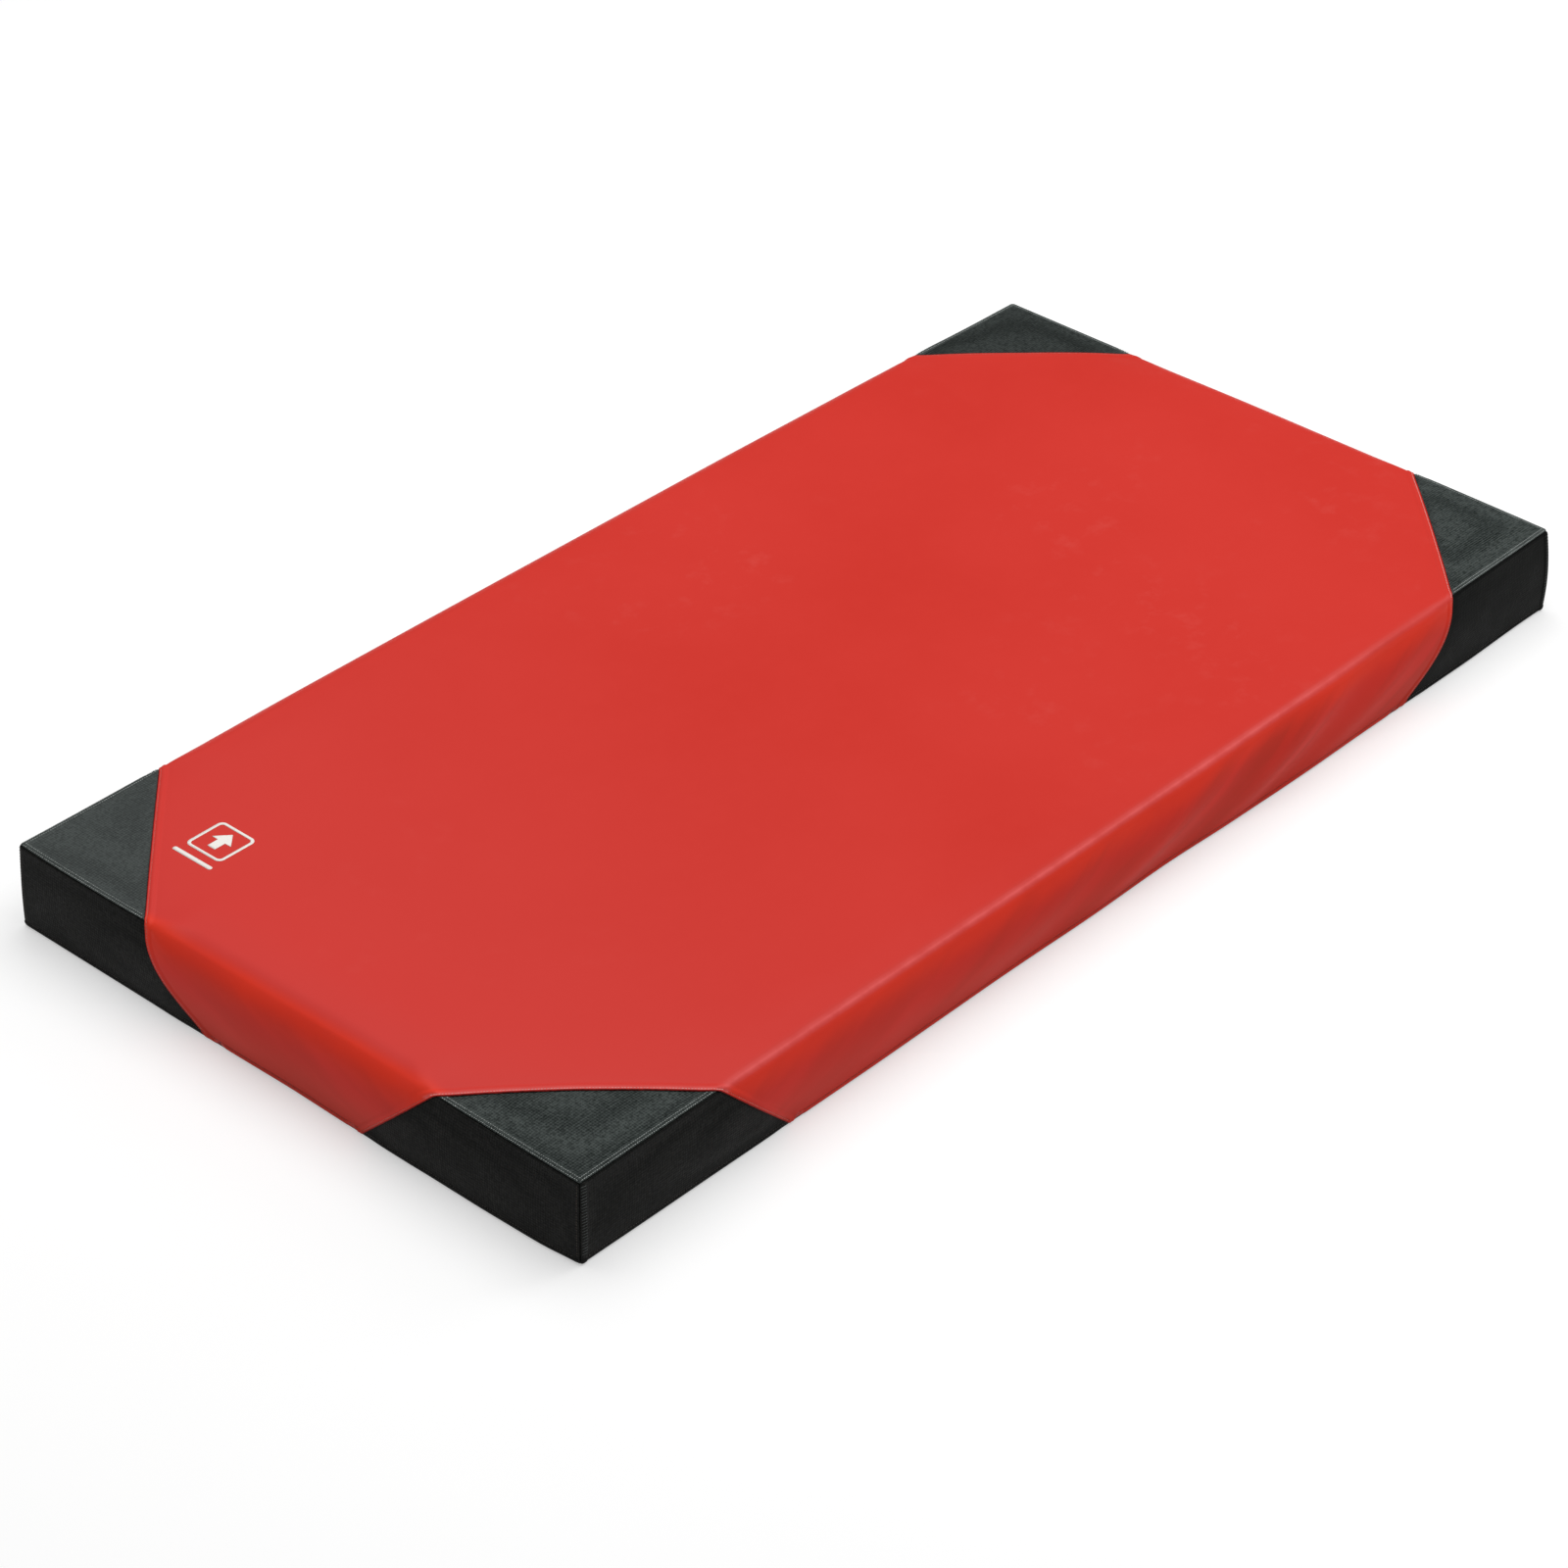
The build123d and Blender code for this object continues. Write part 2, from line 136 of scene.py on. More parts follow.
def simulate():
    """Blender cloth: the closed cover is pushed out by the foam's pressure, held down where it is sewn.
    Returns how far each point of the sharp box's grid moves from the nominal envelope."""
    rest, _ = envelope(SHARP)
    mesh = bpy.data.meshes.new("cover_sim")
    mesh.from_pydata([tuple(p) for p in rest], [], QUADS)
    obj = bpy.data.objects.new("cover_sim", mesh)
    bpy.context.scene.collection.objects.link(obj)
    x, y, z = SHARP.T
    xp, yp = A - np.abs(x), B - np.abs(y)
    m = np.maximum(xp, yp)
    on_ridge = (z > H - 1e-6) & (np.minimum(xp, yp) < 1e-6)
    upright = (xp < 1e-6) & (yp < 1e-6)
    black_ridge = on_ridge & (m < LEG + 0.005)
    weight = 0.12 + 0.08 * gauss(z, H, 0.02) * (np.minimum(xp, yp) < 1e-6)
    weight = np.where((z < H - 1e-6), np.minimum(weight, 0.10 + 0.10 * gauss(z, H, 0.02)), weight)
    zone = (y > B - 1e-6) * (1 - smooth(0.70, 0.78, np.abs(x))) * (1 - smooth(0.022, 0.045, np.abs(z - ZIP_Z)))
    weight = np.maximum(weight, zone)
    weight = np.where(black_ridge, 0.85, weight)
    weight = np.where(upright, 0.9, weight)
    weight = np.where(z < 0.02, np.maximum(weight, 0.6), weight)
    weight = np.where(z < 1e-6, 1.0, weight)
    group = obj.vertex_groups.new(name="held")
    for w in np.unique(np.round(weight, 3)):
        group.add([int(i) for i in np.nonzero(np.abs(weight - w) < 6e-4)[0]], float(w), "REPLACE")
    cloth = obj.modifiers.new("Cloth", "CLOTH")
    s = cloth.settings
    s.quality = 6
    s.mass = 0.4
    s.air_damping = 6
    s.tension_stiffness = 30
    s.compression_stiffness = 12
    s.shear_stiffness = 12
    s.bending_stiffness = 1.5
    s.tension_damping = s.compression_damping = s.shear_damping = 8
    s.bending_damping = 1.0
    s.use_pressure = True
    s.uniform_pressure_force = 1.05
    s.pressure_factor = 1.0
    s.vertex_group_mass = "held"
    s.pin_stiffness = 1.4
    slack = obj.vertex_groups.new(name="slack")
    slack.add([int(i) for i in np.nonzero((z < H - 0.02) & (z > 0.02))[0]], 1.0, "REPLACE")
    s.vertex_group_shrink = "slack"
    s.shrink_min = 0.0
    s.shrink_max = -0.008
    s.effector_weights.gravity = 0
    cloth.collision_settings.use_collision = False
    scene = bpy.context.scene
    frames = 26
    cloth.point_cache.frame_start, cloth.point_cache.frame_end = 1, frames
    scene.frame_start, scene.frame_end = 1, frames
    for f in range(1, frames + 1):
        scene.frame_set(f)
    done = obj.evaluated_get(bpy.context.evaluated_depsgraph_get()).to_mesh()
    co = np.empty(len(SHARP) * 3)
    done.vertices.foreach_get("co", co)
    co = co.reshape(-1, 3)
    scene.frame_set(1)
    bpy.data.objects.remove(obj)
    moved = co - rest
    far = np.linalg.norm(moved, axis=1, keepdims=True)
    return moved * np.minimum(1.0, 0.009 / np.maximum(far, 1e-9))


MOVE = simulate()
print("largest cloth move mm", np.round(np.abs(MOVE).max(0) * 1000, 2))
# what the sewn and floor-bound parts keep
MOVE = MOVE * smooth(-0.001, 0.02, SHARP[:, 2])[:, None]
FIELD = {k: MOVE[g] for k, g in GRIDS.items()}


def bilinear(field, u, v):
    """field[i, j] at fractional grid positions u, v, cubic in weight so that no cell edge shows."""
    nu, nv = field.shape[0] - 1, field.shape[1] - 1

    def taps(t, n):
        t = np.clip(t, 0, n)
        i = np.clip(np.floor(t).astype(int), 0, n - 1)
        f = t - i
        idx = [np.clip(i + k, 0, n) for k in (-1, 0, 1, 2)]
        w = [
            ((1 - f) ** 3) / 6,
            (3 * f**3 - 6 * f**2 + 4) / 6,
            (-3 * f**3 + 3 * f**2 + 3 * f + 1) / 6,
            (f**3) / 6,
        ]
        return idx, w

    iu, wu = taps(u, nu)
    iv, wv = taps(v, nv)
    out = np.zeros((len(u), 3))
    for a, wa in zip(iu, wu):
        for b, wb in zip(iv, wv):
            out += (wa * wb)[:, None] * field[a, b]
    return out


def cloth_move(p):
    """The simulated move at points of the sharp box."""
    out = np.zeros_like(p)
    eps = 1e-6
    x, y, z = p.T
    gx, gy, gz = (x + A) / (2 * A) * CELL_X, (y + B) / (2 * B) * CELL_Y, z / H * CELL_Z
    top = z > H - eps
    base = (z < eps) & ~top
    left, right = (x < -A + eps) & ~top & ~base, (x > A - eps) & ~top & ~base
    front, rear = (y < -B + eps) & ~top & ~base & ~left & ~right, (y > B - eps) & ~top & ~base & ~left & ~right
    for name, mask, u, v in (
        ("top", top, gx, gy), ("base", base, gx, gy), ("left", left, gy, gz), ("right", right, gy, gz),
        ("front", front, gx, gz), ("rear", rear, gx, gz),
    ):
        if mask.any():
            out[mask] = bilinear(FIELD[name], u[mask], v[mask])
    return out * (1 - zip_held(p))[:, None]


# how far the skirt stands out at the floor, along the left end and along the long front side (metres)
SKIRT_LEFT = ([-0.50, -0.485, -0.445, -0.345, -0.176, 0.0, 0.177, 0.40, 0.50], [0.0, 0.0008, 0.0055, 0.0068, 0.0055, 0.0018, 0.0025, 0.0008, 0.0])
SKIRT_FRONT = ([-1.0, -0.90, -0.45, -0.25, -0.07, 0.138, 0.24, 0.355, 0.58, 0.816, 0.94, 1.0], [0.0, 0.0008, 0.0022, 0.0, 0.0018, 0.0, 0.0032, 0.0062, 0.0048, 0.0050, 0.0006, 0.0])
# how high the rear ridge stands over a straight line, along the length
REAR_RISE = ([-1.0, -0.94, -0.80, -0.54, -0.27, 0.02, 0.33, 0.67, 0.80, 0.87, 1.0], [0.0060, 0.0062, 0.0072, 0.0100, 0.0098, 0.0087, 0.0073, 0.0030, 0.0, -0.0028, -0.0044])


def eased(table, at):
    """The table's curve, without kinks."""
    fine = np.linspace(table[0][0], table[0][-1], 401)
    v = np.interp(fine, *table)
    for _ in range(60):
        v[1:-1] = (v[:-2] + 2 * v[1:-1] + v[2:]) / 4
    return np.interp(at, fine, v)


def zip_held(p):
    """1 where the rear wall is held flat by the zip, 0 elsewhere."""
    return (p[:, 1] > B - 1e-6) * (1 - smooth(0.70, 0.78, np.abs(p[:, 0]))) * (1 - smooth(0.024, 0.045, np.abs(p[:, 2] - ZIP_Z)))


def macro_move(p):
    """The mat's own uneven shape: one end a little fuller, ridges that are not quite straight, a few soft folds."""
    x, y, z = p.T
    up = np.clip(z / H, 0, 1)
    xp, yp = A - np.abs(x), B - np.abs(y)
    out = np.zeros_like(p)
    # the right end stands a little higher than the left
    out[:, 2] += up * (0.0003 + 0.0050 * x / A)
    # the left end's ridge bows up between its corners, the long front ridge sits low in its middle
    end = gauss(x, -A, 0.16) * (1 - smooth(0.05, 0.50, np.abs(y)))
    out[:, 2] += up * 0.0045 * end
    long_front = gauss(y, -B, 0.10) * (1 - smooth(0.15, 0.80, np.abs(x - 0.1)))
    out[:, 2] -= up * 0.0035 * long_front
    # the foam fills the wide round of the red ridges, so that they run straight on from the corners' sharp ones
    _, n = envelope(p)
    down = np.where(z > H - 1e-6, np.minimum(xp, yp), H - z)
    out += n * (0.414 * (np.minimum(ridge_radius(p), R_RED) - R_BLACK) * np.exp(-down / 0.045))[:, None]
    # the upright corners bulge a little at half height
    reach = np.exp(-np.maximum(xp, yp) / 0.10) * np.sin(np.pi * np.clip(z / H, 0, 1)) * (z < H - 1e-6)
    amount = np.where(x > 0, np.where(y < 0, 0.0050, 0.0030), 0.0015)
    out += n * (amount * reach)[:, None]
    # the front wall and the left end fall outward from their ridges and are fullest above half height
    full = np.sin(np.pi * np.clip(z / H, 0, 1) ** 1.5) * (z < H - 1e-6)
    out[:, 1] -= 0.0050 * gauss(y, -B, 0.03) * full * smooth(0.02, 0.30, xp)
    out[:, 0] -= 0.0045 * gauss(x, -A, 0.03) * full * smooth(0.02, 0.25, yp)
    # soft folds on the long front wall, under the ridge
    wall = gauss(y, -B, 0.03)
    mid = np.sin(np.pi * np.clip(z / H, 0, 1)) ** 0.8
    folds = (
        -0.0034 * gauss(x - 1.7 * (z - H), 0.06, 0.080)
        + 0.0022 * gauss(x - 1.8 * (z - H), 0.21, 0.055)
        - 0.0040 * gauss(x - 2.0 * (z - H), 0.36, 0.070)
        + 0.0028 * gauss(x - 2.0 * (z - H), 0.49, 0.050)
        - 0.0048 * gauss(x - 2.2 * (z - H), 0.62, 0.060)
        + 0.0022 * gauss(x - 2.2 * (z - H), 0.73, 0.045)
        + 0.0012 * gauss(x - 0.35 * (z - H), -0.22, 0.06)
        - 0.0016 * gauss(x - 0.35 * (z - H), -0.36, 0.05)
    )
    out[:, 1] -= wall * mid * folds
    # the same kind of folds on the other walls, at places of their own
    left = gauss(x, -A, 0.03)
    folds_l = -0.0016 * gauss(y + 0.3 * (z - H), -0.06, 0.05) + 0.0014 * gauss(y + 0.3 * (z - H), 0.05, 0.04) - 0.0014 * gauss(y, 0.17, 0.05)
    out[:, 0] -= left * mid * folds_l
    right = gauss(x, A, 0.03)
    folds_r = -0.0018 * gauss(y - 0.3 * (z - H), 0.02, 0.05) + 0.0012 * gauss(y, -0.10, 0.04)
    out[:, 0] += right * mid * folds_r
    # very shallow unevenness of the foam under the top
    top = smooth(H - 0.02, H, z)
    soft = (
        0.0009 * np.sin(3.1 * x + 1.3) * np.sin(5.2 * y + 0.4)
        + 0.0005 * np.sin(7.3 * x - 2.1 * y + 0.9)
        + 0.0004 * np.sin(11.0 * y + 4.0 * x + 2.2)
        - 0.0009 * smooth(0.0, 0.6, x)
    )
    fade = smooth(0.0, 0.18, np.minimum(xp, yp))
    out[:, 2] += top * fade * soft
    # the rear ridge bows up along its length; the far right corner sits low
    rear_reach = np.exp(-np.maximum(yp, 0) / 0.11) * (y > 0)
    out[:, 2] += up**1.5 * rear_reach * np.where(x < 0.84, 1.0, 0.0) * eased(REAR_RISE, x)
    far = smooth(0.0, 0.36, y) * np.exp(-xp / 0.20) * (x > 0)
    out[:, 2] += up * np.where(x >= 0.84, rear_reach * eased(REAR_RISE, x), 0.0)
    out[:, 2] -= up * 0.0040 * far * (1 - rear_reach)
    # the skirt stands out at the floor in places
    foot = (1 - up) ** 1.3
    out[:, 0] -= foot * gauss(x, -A, 0.03) * eased(SKIRT_LEFT, y)
    out[:, 1] -= foot * gauss(y, -B, 0.03) * eased(SKIRT_FRONT, x)
    # two corners whose feet stand out further than their tops
    at_l = np.exp(-np.hypot(x + A, y - B) / 0.12)
    out[:, 1] += at_l * (0.0052 - 0.0032 * up)
    at_r = np.exp(-np.hypot(x - A, y + B) / 0.12)
    lean = at_r * (0.0024 - 0.0044 * up)
    out[:, 0] += lean
    out[:, 1] -= lean
    return out * (1 - zip_held(p))[:, None]


def place(p, lift=None):
    """Points on the sharp box to their place on the finished cover. lift moves each one out along its normal."""
    p = np.asarray(p, float)
    pos, n = envelope(p)
    pos = pos + cloth_move(p) + macro_move(p)
    if lift is not None:
        pos = pos + n * np.asarray(lift, float)[:, None]
    pos[:, 2] = np.maximum(pos[:, 2], 0.0003)
    return pos


def place_frame(p, du):
    """Position, outward normal and a tangent for small things set on the cover. du is a step on the sharp box along the thing."""
    p = np.asarray(p, float)
    a, b = place(p), place(p + du * 0.002)
    _, n = envelope(p)
    t = b - a
    t /= np.maximum(np.linalg.norm(t, axis=1, keepdims=True), 1e-12)
    n = n - (n * t).sum(1, keepdims=True) * t
    n /= np.maximum(np.linalg.norm(n, axis=1, keepdims=True), 1e-12)
    return a, n, t


# ------------------------------------------------------------------ seam line of each corner
FLARE_Z = np.array([0.0, 0.022, 0.047, 0.073, 0.102, H])
FLARE_S = np.array([0.350, 0.315, 0.286, 0.262, 0.2445, LEG])


def seam_leg(q, flared):
    """How far from the corner the seam lies on a wall, q below the ridge."""
    if not flared:
        return LEG + q
    z = H - q
    fine = np.linspace(0, H, 131)
    s = np.interp(fine, FLARE_Z, FLARE_S)
    for _ in range(60):
        s[1:-1] = (s[:-2] + 2 * s[1:-1] + s[2:]) / 4
    return np.interp(z, fine, s)


def seam_points(flared, step=0.003):
    """The seam in the corner's unfolded plane, from the floor on the X-side wall, over the top, to the floor on the Y-side wall.
    Unfolded (s, t): s inward along X from the corner, t inward along Y. Past a ridge the value is negative."""
    n = 200
    q = np.linspace(H, 0, n)
    leg = np.array([seam_leg(v, flared) for v in q])
    side_x = np.stack([-q, leg], 1)                    # on the X wall: s is negative, t is the leg
    top = np.stack([np.linspace(0, LEG, n), np.linspace(LEG, 0, n)], 1)[1:-1]
    side_y = np.stack([leg[::-1], -q[::-1]], 1)
    line = np.concatenate([side_x, top, side_y])
    d = np.r_[0, np.cumsum(np.linalg.norm(np.diff(line, axis=0), axis=1))]
    k = int(round(d[-1] / 0.001))
    t = np.linspace(0, d[-1], k + 1)
    line = np.stack([np.interp(t, d, line[:, 0]), np.interp(t, d, line[:, 1])], 1)
    if flared:                                         # the turn at each ridge is a bend, not a corner
        ends = line[[0, -1]].copy()
        for _ in range(140):
            line[1:-1] = (line[:-2] + 2 * line[1:-1] + line[2:]) / 4
        line[[0, -1]] = ends
    d = np.r_[0, np.cumsum(np.linalg.norm(np.diff(line, axis=0), axis=1))]
    k = int(round(d[-1] / step))
    t = np.linspace(0, d[-1], k + 1)
    return np.stack([np.interp(t, d, line[:, 0]), np.interp(t, d, line[:, 1])], 1)


SEAMS = {name: seam_points(f, 0.003) for name, (sx, sy, f) in CORNERS.items()}
SEAMS_FINE = {name: seam_points(f, 0.0012) for name, (sx, sy, f) in CORNERS.items()}


def offset_line(line, d):
    """The line moved to its left-hand side by d, which is away from the corner."""
    t = np.gradient(line, axis=0)
    t /= np.linalg.norm(t, axis=1, keepdims=True)
    n = np.stack([-t[:, 1], t[:, 0]], 1)
    # choose the side away from the corner (0, 0)
    mid = len(line) // 2
    if n[mid] @ np.array([1.0, 1.0]) < 0:
        n = -n
    return line + n * d


def dist_to(line, pts):
    """Signed distance across a fine polyline: positive away from the corner."""
    out = np.full(len(pts), 1.0)
    t = np.gradient(line, axis=0)
    t /= np.linalg.norm(t, axis=1, keepdims=True)
    n = np.stack([-t[:, 1], t[:, 0]], 1)
    if n[len(line) // 2] @ np.array([1.0, 1.0]) < 0:
        n = -n
    for s in range(0, len(pts), 4000):
        part = pts[s : s + 4000]
        d2 = ((part[:, None, :] - line[None, :, :]) ** 2).sum(2)
        i = d2.argmin(1)
        v = part - line[i]
        across = (v * n[i]).sum(1)
        out[s : s + 4000] = np.where(np.abs(across) > 0.02, np.sign(across) * np.sqrt(d2[np.arange(len(part)), i]), across)
    return out


def fold(u, v):
    """Unfolded plane of the whole mat to the sharp box. u, v are metres from the middle of the top; past +-A or +-B they run down a wall."""
    qx, qy = np.maximum(np.abs(u) - A, 0), np.maximum(np.abs(v) - B, 0)
    z = np.clip(H - qx - qy, 0, H)
    return np.stack([np.clip(u, -A, A), np.clip(v, -B, B), z], 1)


def corner_uv(line, sx, sy):
    """A corner's own (s, t) to the mat's unfolded (u, v)."""
    return np.stack([sx * (A - line[:, 0]), sy * (B - line[:, 1])], 1)


# ------------------------------------------------------------------ mesh helpers
def graded(lo, hi, spots, near, far, reach):
    """Positions from lo to hi, near apart close to any of the spots and far apart elsewhere."""
    out = [lo]
    while out[-1] < hi:
        d = min(abs(out[-1] - s) for s in spots)
        out.append(out[-1] + near + (far - near) * float(smooth(reach * 0.4, reach, d)))
    out = np.array(out)
    return lo + (out - lo) * (hi - lo) / (out[-1] - lo)


def inside(poly, pts):
    """Even-odd test of points against a closed polygon."""
    x, y = pts[:, 0], pts[:, 1]
    out = np.zeros(len(pts), bool)
    px, py = poly[:, 0], poly[:, 1]
    qx, qy = np.roll(px, -1), np.roll(py, -1)
    for a, b, c, d in zip(px, py, qx, qy):
        if b == d:
            continue
        hit = (b > y) != (d > y)
        out ^= hit & (x < (c - a) * (y - b) / (d - b) + a)
    return out


def triangulate(outline, extra_lines, points, holes=()):
    """Constrained triangulation of a flat outline with extra points and lines; returns (points, triangles)."""
    pts = [Vector(p) for p in outline]
    edges = [(i, (i + 1) % len(outline)) for i in range(len(outline))]
    for hole in holes:
        k = len(pts)
        pts += [Vector(p) for p in hole]
        edges += [(k + i, k + (i + 1) % len(hole)) for i in range(len(hole))]
    for line in extra_lines:
        k = len(pts)
        pts += [Vector(p) for p in line]
        edges += [(k + i, k + i + 1) for i in range(len(line) - 1)]
    pts += [Vector(p) for p in points]
    verts, _, tris, _, _, _ = delaunay_2d_cdt(pts, edges, [], 0, 1e-7, False)
    xy = np.array([tuple(v) for v in verts])
    tris = np.array([t for t in tris if len(t) == 3])
    mid = xy[tris].mean(1)
    keep = inside(np.asarray(outline), mid)
    for hole in holes:
        keep &= ~inside(np.asarray(hole), mid)
    tris = tris[keep]
    used = np.unique(tris)
    renum = -np.ones(len(xy), int)
    renum[used] = np.arange(len(used))
    return xy[used], renum[tris]


def mesh_object(name, co, faces, material, smooth_shade=True):
    mesh = bpy.data.meshes.new(name)
    mesh.from_pydata([tuple(map(float, p)) for p in co], [], [tuple(map(int, f)) for f in faces])
    mesh.validate()
    mesh.update()
    if smooth_shade:
        mesh.polygons.foreach_set("use_smooth", [True] * len(mesh.polygons))
    obj = bpy.data.objects.new(name, mesh)
    bpy.context.scene.collection.objects.link(obj)
    if material is not None:
        mesh.materials.append(material)
    return obj


def face_outward(co, tris, normals):
    """Turns each triangle so that it faces along its points' outward normals."""
    a, b, c = co[tris[:, 0]], co[tris[:, 1]], co[tris[:, 2]]
    n = np.cross(b - a, c - a)
    bad = (n * normals[tris].sum(1)).sum(1) < 0
    tris = tris.copy()
    tris[bad] = tris[bad][:, ::-1]
    return tris


def thick_sheet(name, sharp, lift, tris, thickness, material, normals=None, co=None):
    """A closed sheet: the outer face at lift, an inner face thickness below it, and a rim."""
    pos, n = envelope(sharp)
    if co is None:
        co = place(sharp, lift)
    tris = face_outward(co, tris, n)
    # true surface normals from the triangles, so that folds and hems keep an even thickness
    fn = np.cross(co[tris[:, 1]] - co[tris[:, 0]], co[tris[:, 2]] - co[tris[:, 0]])
    vn = np.zeros_like(co)
    for k in range(3):
        np.add.at(vn, tris[:, k], fn)
    vn /= np.maximum(np.linalg.norm(vn, axis=1, keepdims=True), 1e-15)
    vn = vn + n
    vn /= np.maximum(np.linalg.norm(vn, axis=1, keepdims=True), 1e-15)
    inner = co - vn * thickness
    inner[:, 2] = np.maximum(inner[:, 2], 0.0002)
    e = np.concatenate([tris[:, [0, 1]], tris[:, [1, 2]], tris[:, [2, 0]]])
    key = np.sort(e, 1)
    _, first, counts = np.unique(key[:, 0] * (len(co) + 1) + key[:, 1], return_index=True, return_counts=True)
    rim = e[first[counts == 1]]
    k = len(co)
    sides = np.concatenate([
        np.stack([rim[:, 1], rim[:, 0], rim[:, 0] + k], 1),
        np.stack([rim[:, 1], rim[:, 0] + k, rim[:, 1] + k], 1),
    ])
    allfaces = np.concatenate([tris, tris[:, ::-1] + k, sides])
    return mesh_object(name, np.concatenate([co, inner]), allfaces, material)


# ------------------------------------------------------------------ materials
def new_material(name):
    m = bpy.data.materials.new(name)
    m.use_nodes = True
    nt = m.node_tree
    nt.nodes.clear()
    out = nt.nodes.new("ShaderNodeOutputMaterial")
    bsdf = nt.nodes.new("ShaderNodeBsdfPrincipled")
    nt.links.new(bsdf.outputs[0], out.inputs[0])
    return m, nt, bsdf


class Nodes:
    """Short names for the nodes that every material here uses."""

    def __init__(self, nt):
        self.nt = nt
        self.coord = nt.nodes.new("ShaderNodeTexCoord").outputs["Object"]

    def link(self, a, b):
        self.nt.links.new(a, b)
        return b

    def mapping(self, scale=(1, 1, 1), rot=(0, 0, 0), loc=(0, 0, 0)):
        n = self.nt.nodes.new("ShaderNodeMapping")
        n.inputs["Scale"].default_value = scale
        n.inputs["Rotation"].default_value = rot
        n.inputs["Location"].default_value = loc
        self.link(self.coord, n.inputs["Vector"])
        return n.outputs[0]

    def noise(self, scale, detail=2.0, rough=0.5, vec=None, distort=0.0):
        n = self.nt.nodes.new("ShaderNodeTexNoise")
        n.inputs["Scale"].default_value = scale
        n.inputs["Detail"].default_value = detail
        n.inputs["Roughness"].default_value = rough
        n.inputs["Distortion"].default_value = distort
        self.link(vec or self.coord, n.inputs["Vector"])
        return n.outputs["Fac"]

    def voronoi(self, scale, feature="F1", vec=None):
        n = self.nt.nodes.new("ShaderNodeTexVoronoi")
        n.feature = feature
        n.inputs["Scale"].default_value = scale
        self.link(vec or self.coord, n.inputs["Vector"])
        return n.outputs["Distance"]

    def wave(self, scale, direction, vec=None, distort=0.0, detail=0.0):
        n = self.nt.nodes.new("ShaderNodeTexWave")
        n.wave_type = "BANDS"
        n.bands_direction = direction
        n.inputs["Scale"].default_value = scale
        n.inputs["Distortion"].default_value = distort
        n.inputs["Detail"].default_value = detail
        self.link(vec or self.coord, n.inputs["Vector"])
        return n.outputs["Fac"]

    def math(self, op, a, b=None, clamp=False):
        n = self.nt.nodes.new("ShaderNodeMath")
        n.operation = op
        n.use_clamp = clamp
        for i, v in enumerate((a, b)):
            if v is None:
                continue
            if isinstance(v, (int, float)):
                n.inputs[i].default_value = v
            else:
                self.link(v, n.inputs[i])
        return n.outputs[0]

    def ramp(self, fac, stops):
        n = self.nt.nodes.new("ShaderNodeValToRGB")
        while len(n.color_ramp.elements) < len(stops):
            n.color_ramp.elements.new(0.5)
        for e, (pos, col) in zip(n.color_ramp.elements, stops):
            e.position = pos
            e.color = (*col, 1) if len(col) == 3 else col
        self.link(fac, n.inputs[0])
        return n.outputs[0]

    def spread(self, fac, a, b, c, d):
        n = self.nt.nodes.new("ShaderNodeMapRange")
        for i, v in enumerate((a, b, c, d)):
            n.inputs[i + 1].default_value = v
        self.link(fac, n.inputs[0])
        return n.outputs[0]

    def mix(self, fac, a, b):
        n = self.nt.nodes.new("ShaderNodeMix")
        n.data_type = "RGBA"
        if isinstance(fac, (int, float)):
            n.inputs[0].default_value = fac
        else:
            self.link(fac, n.inputs[0])
        for k, v in ((6, a), (7, b)):
            if isinstance(v, tuple):
                n.inputs[k].default_value = (*v, 1)
            else:
                self.link(v, n.inputs[k])
        return n.outputs[2]

    def bump(self, height, strength, distance, normal=None):
        n = self.nt.nodes.new("ShaderNodeBump")
        n.inputs["Strength"].default_value = strength
        n.inputs["Distance"].default_value = distance
        self.link(height, n.inputs["Height"])
        if normal is not None:
            self.link(normal, n.inputs["Normal"])
        return n.outputs[0]


def red_lip_painted_shade_vinyl():
    """The rolled lip of the red sheet, painted dark maroon: painted shade under the roll and along the floor."""
    m, nt, bsdf = new_material("red_vinyl_lip_painted_shade")
    g = Nodes(nt)
    n = g.noise(160.0, 3.0, 0.6)
    g.link(g.ramp(n, [(0.35, (0.150, 0.0090, 0.0075)), (0.70, (0.300, 0.0160, 0.0125))]), bsdf.inputs["Base Color"])
    g.link(g.spread(n, 0.3, 0.7, 0.50, 0.62), bsdf.inputs["Roughness"])
    bsdf.inputs["Specular IOR Level"].default_value = 0.05
    g.link(g.bump(n, 0.1, 0.0001), bsdf.inputs["Normal"])
    return m


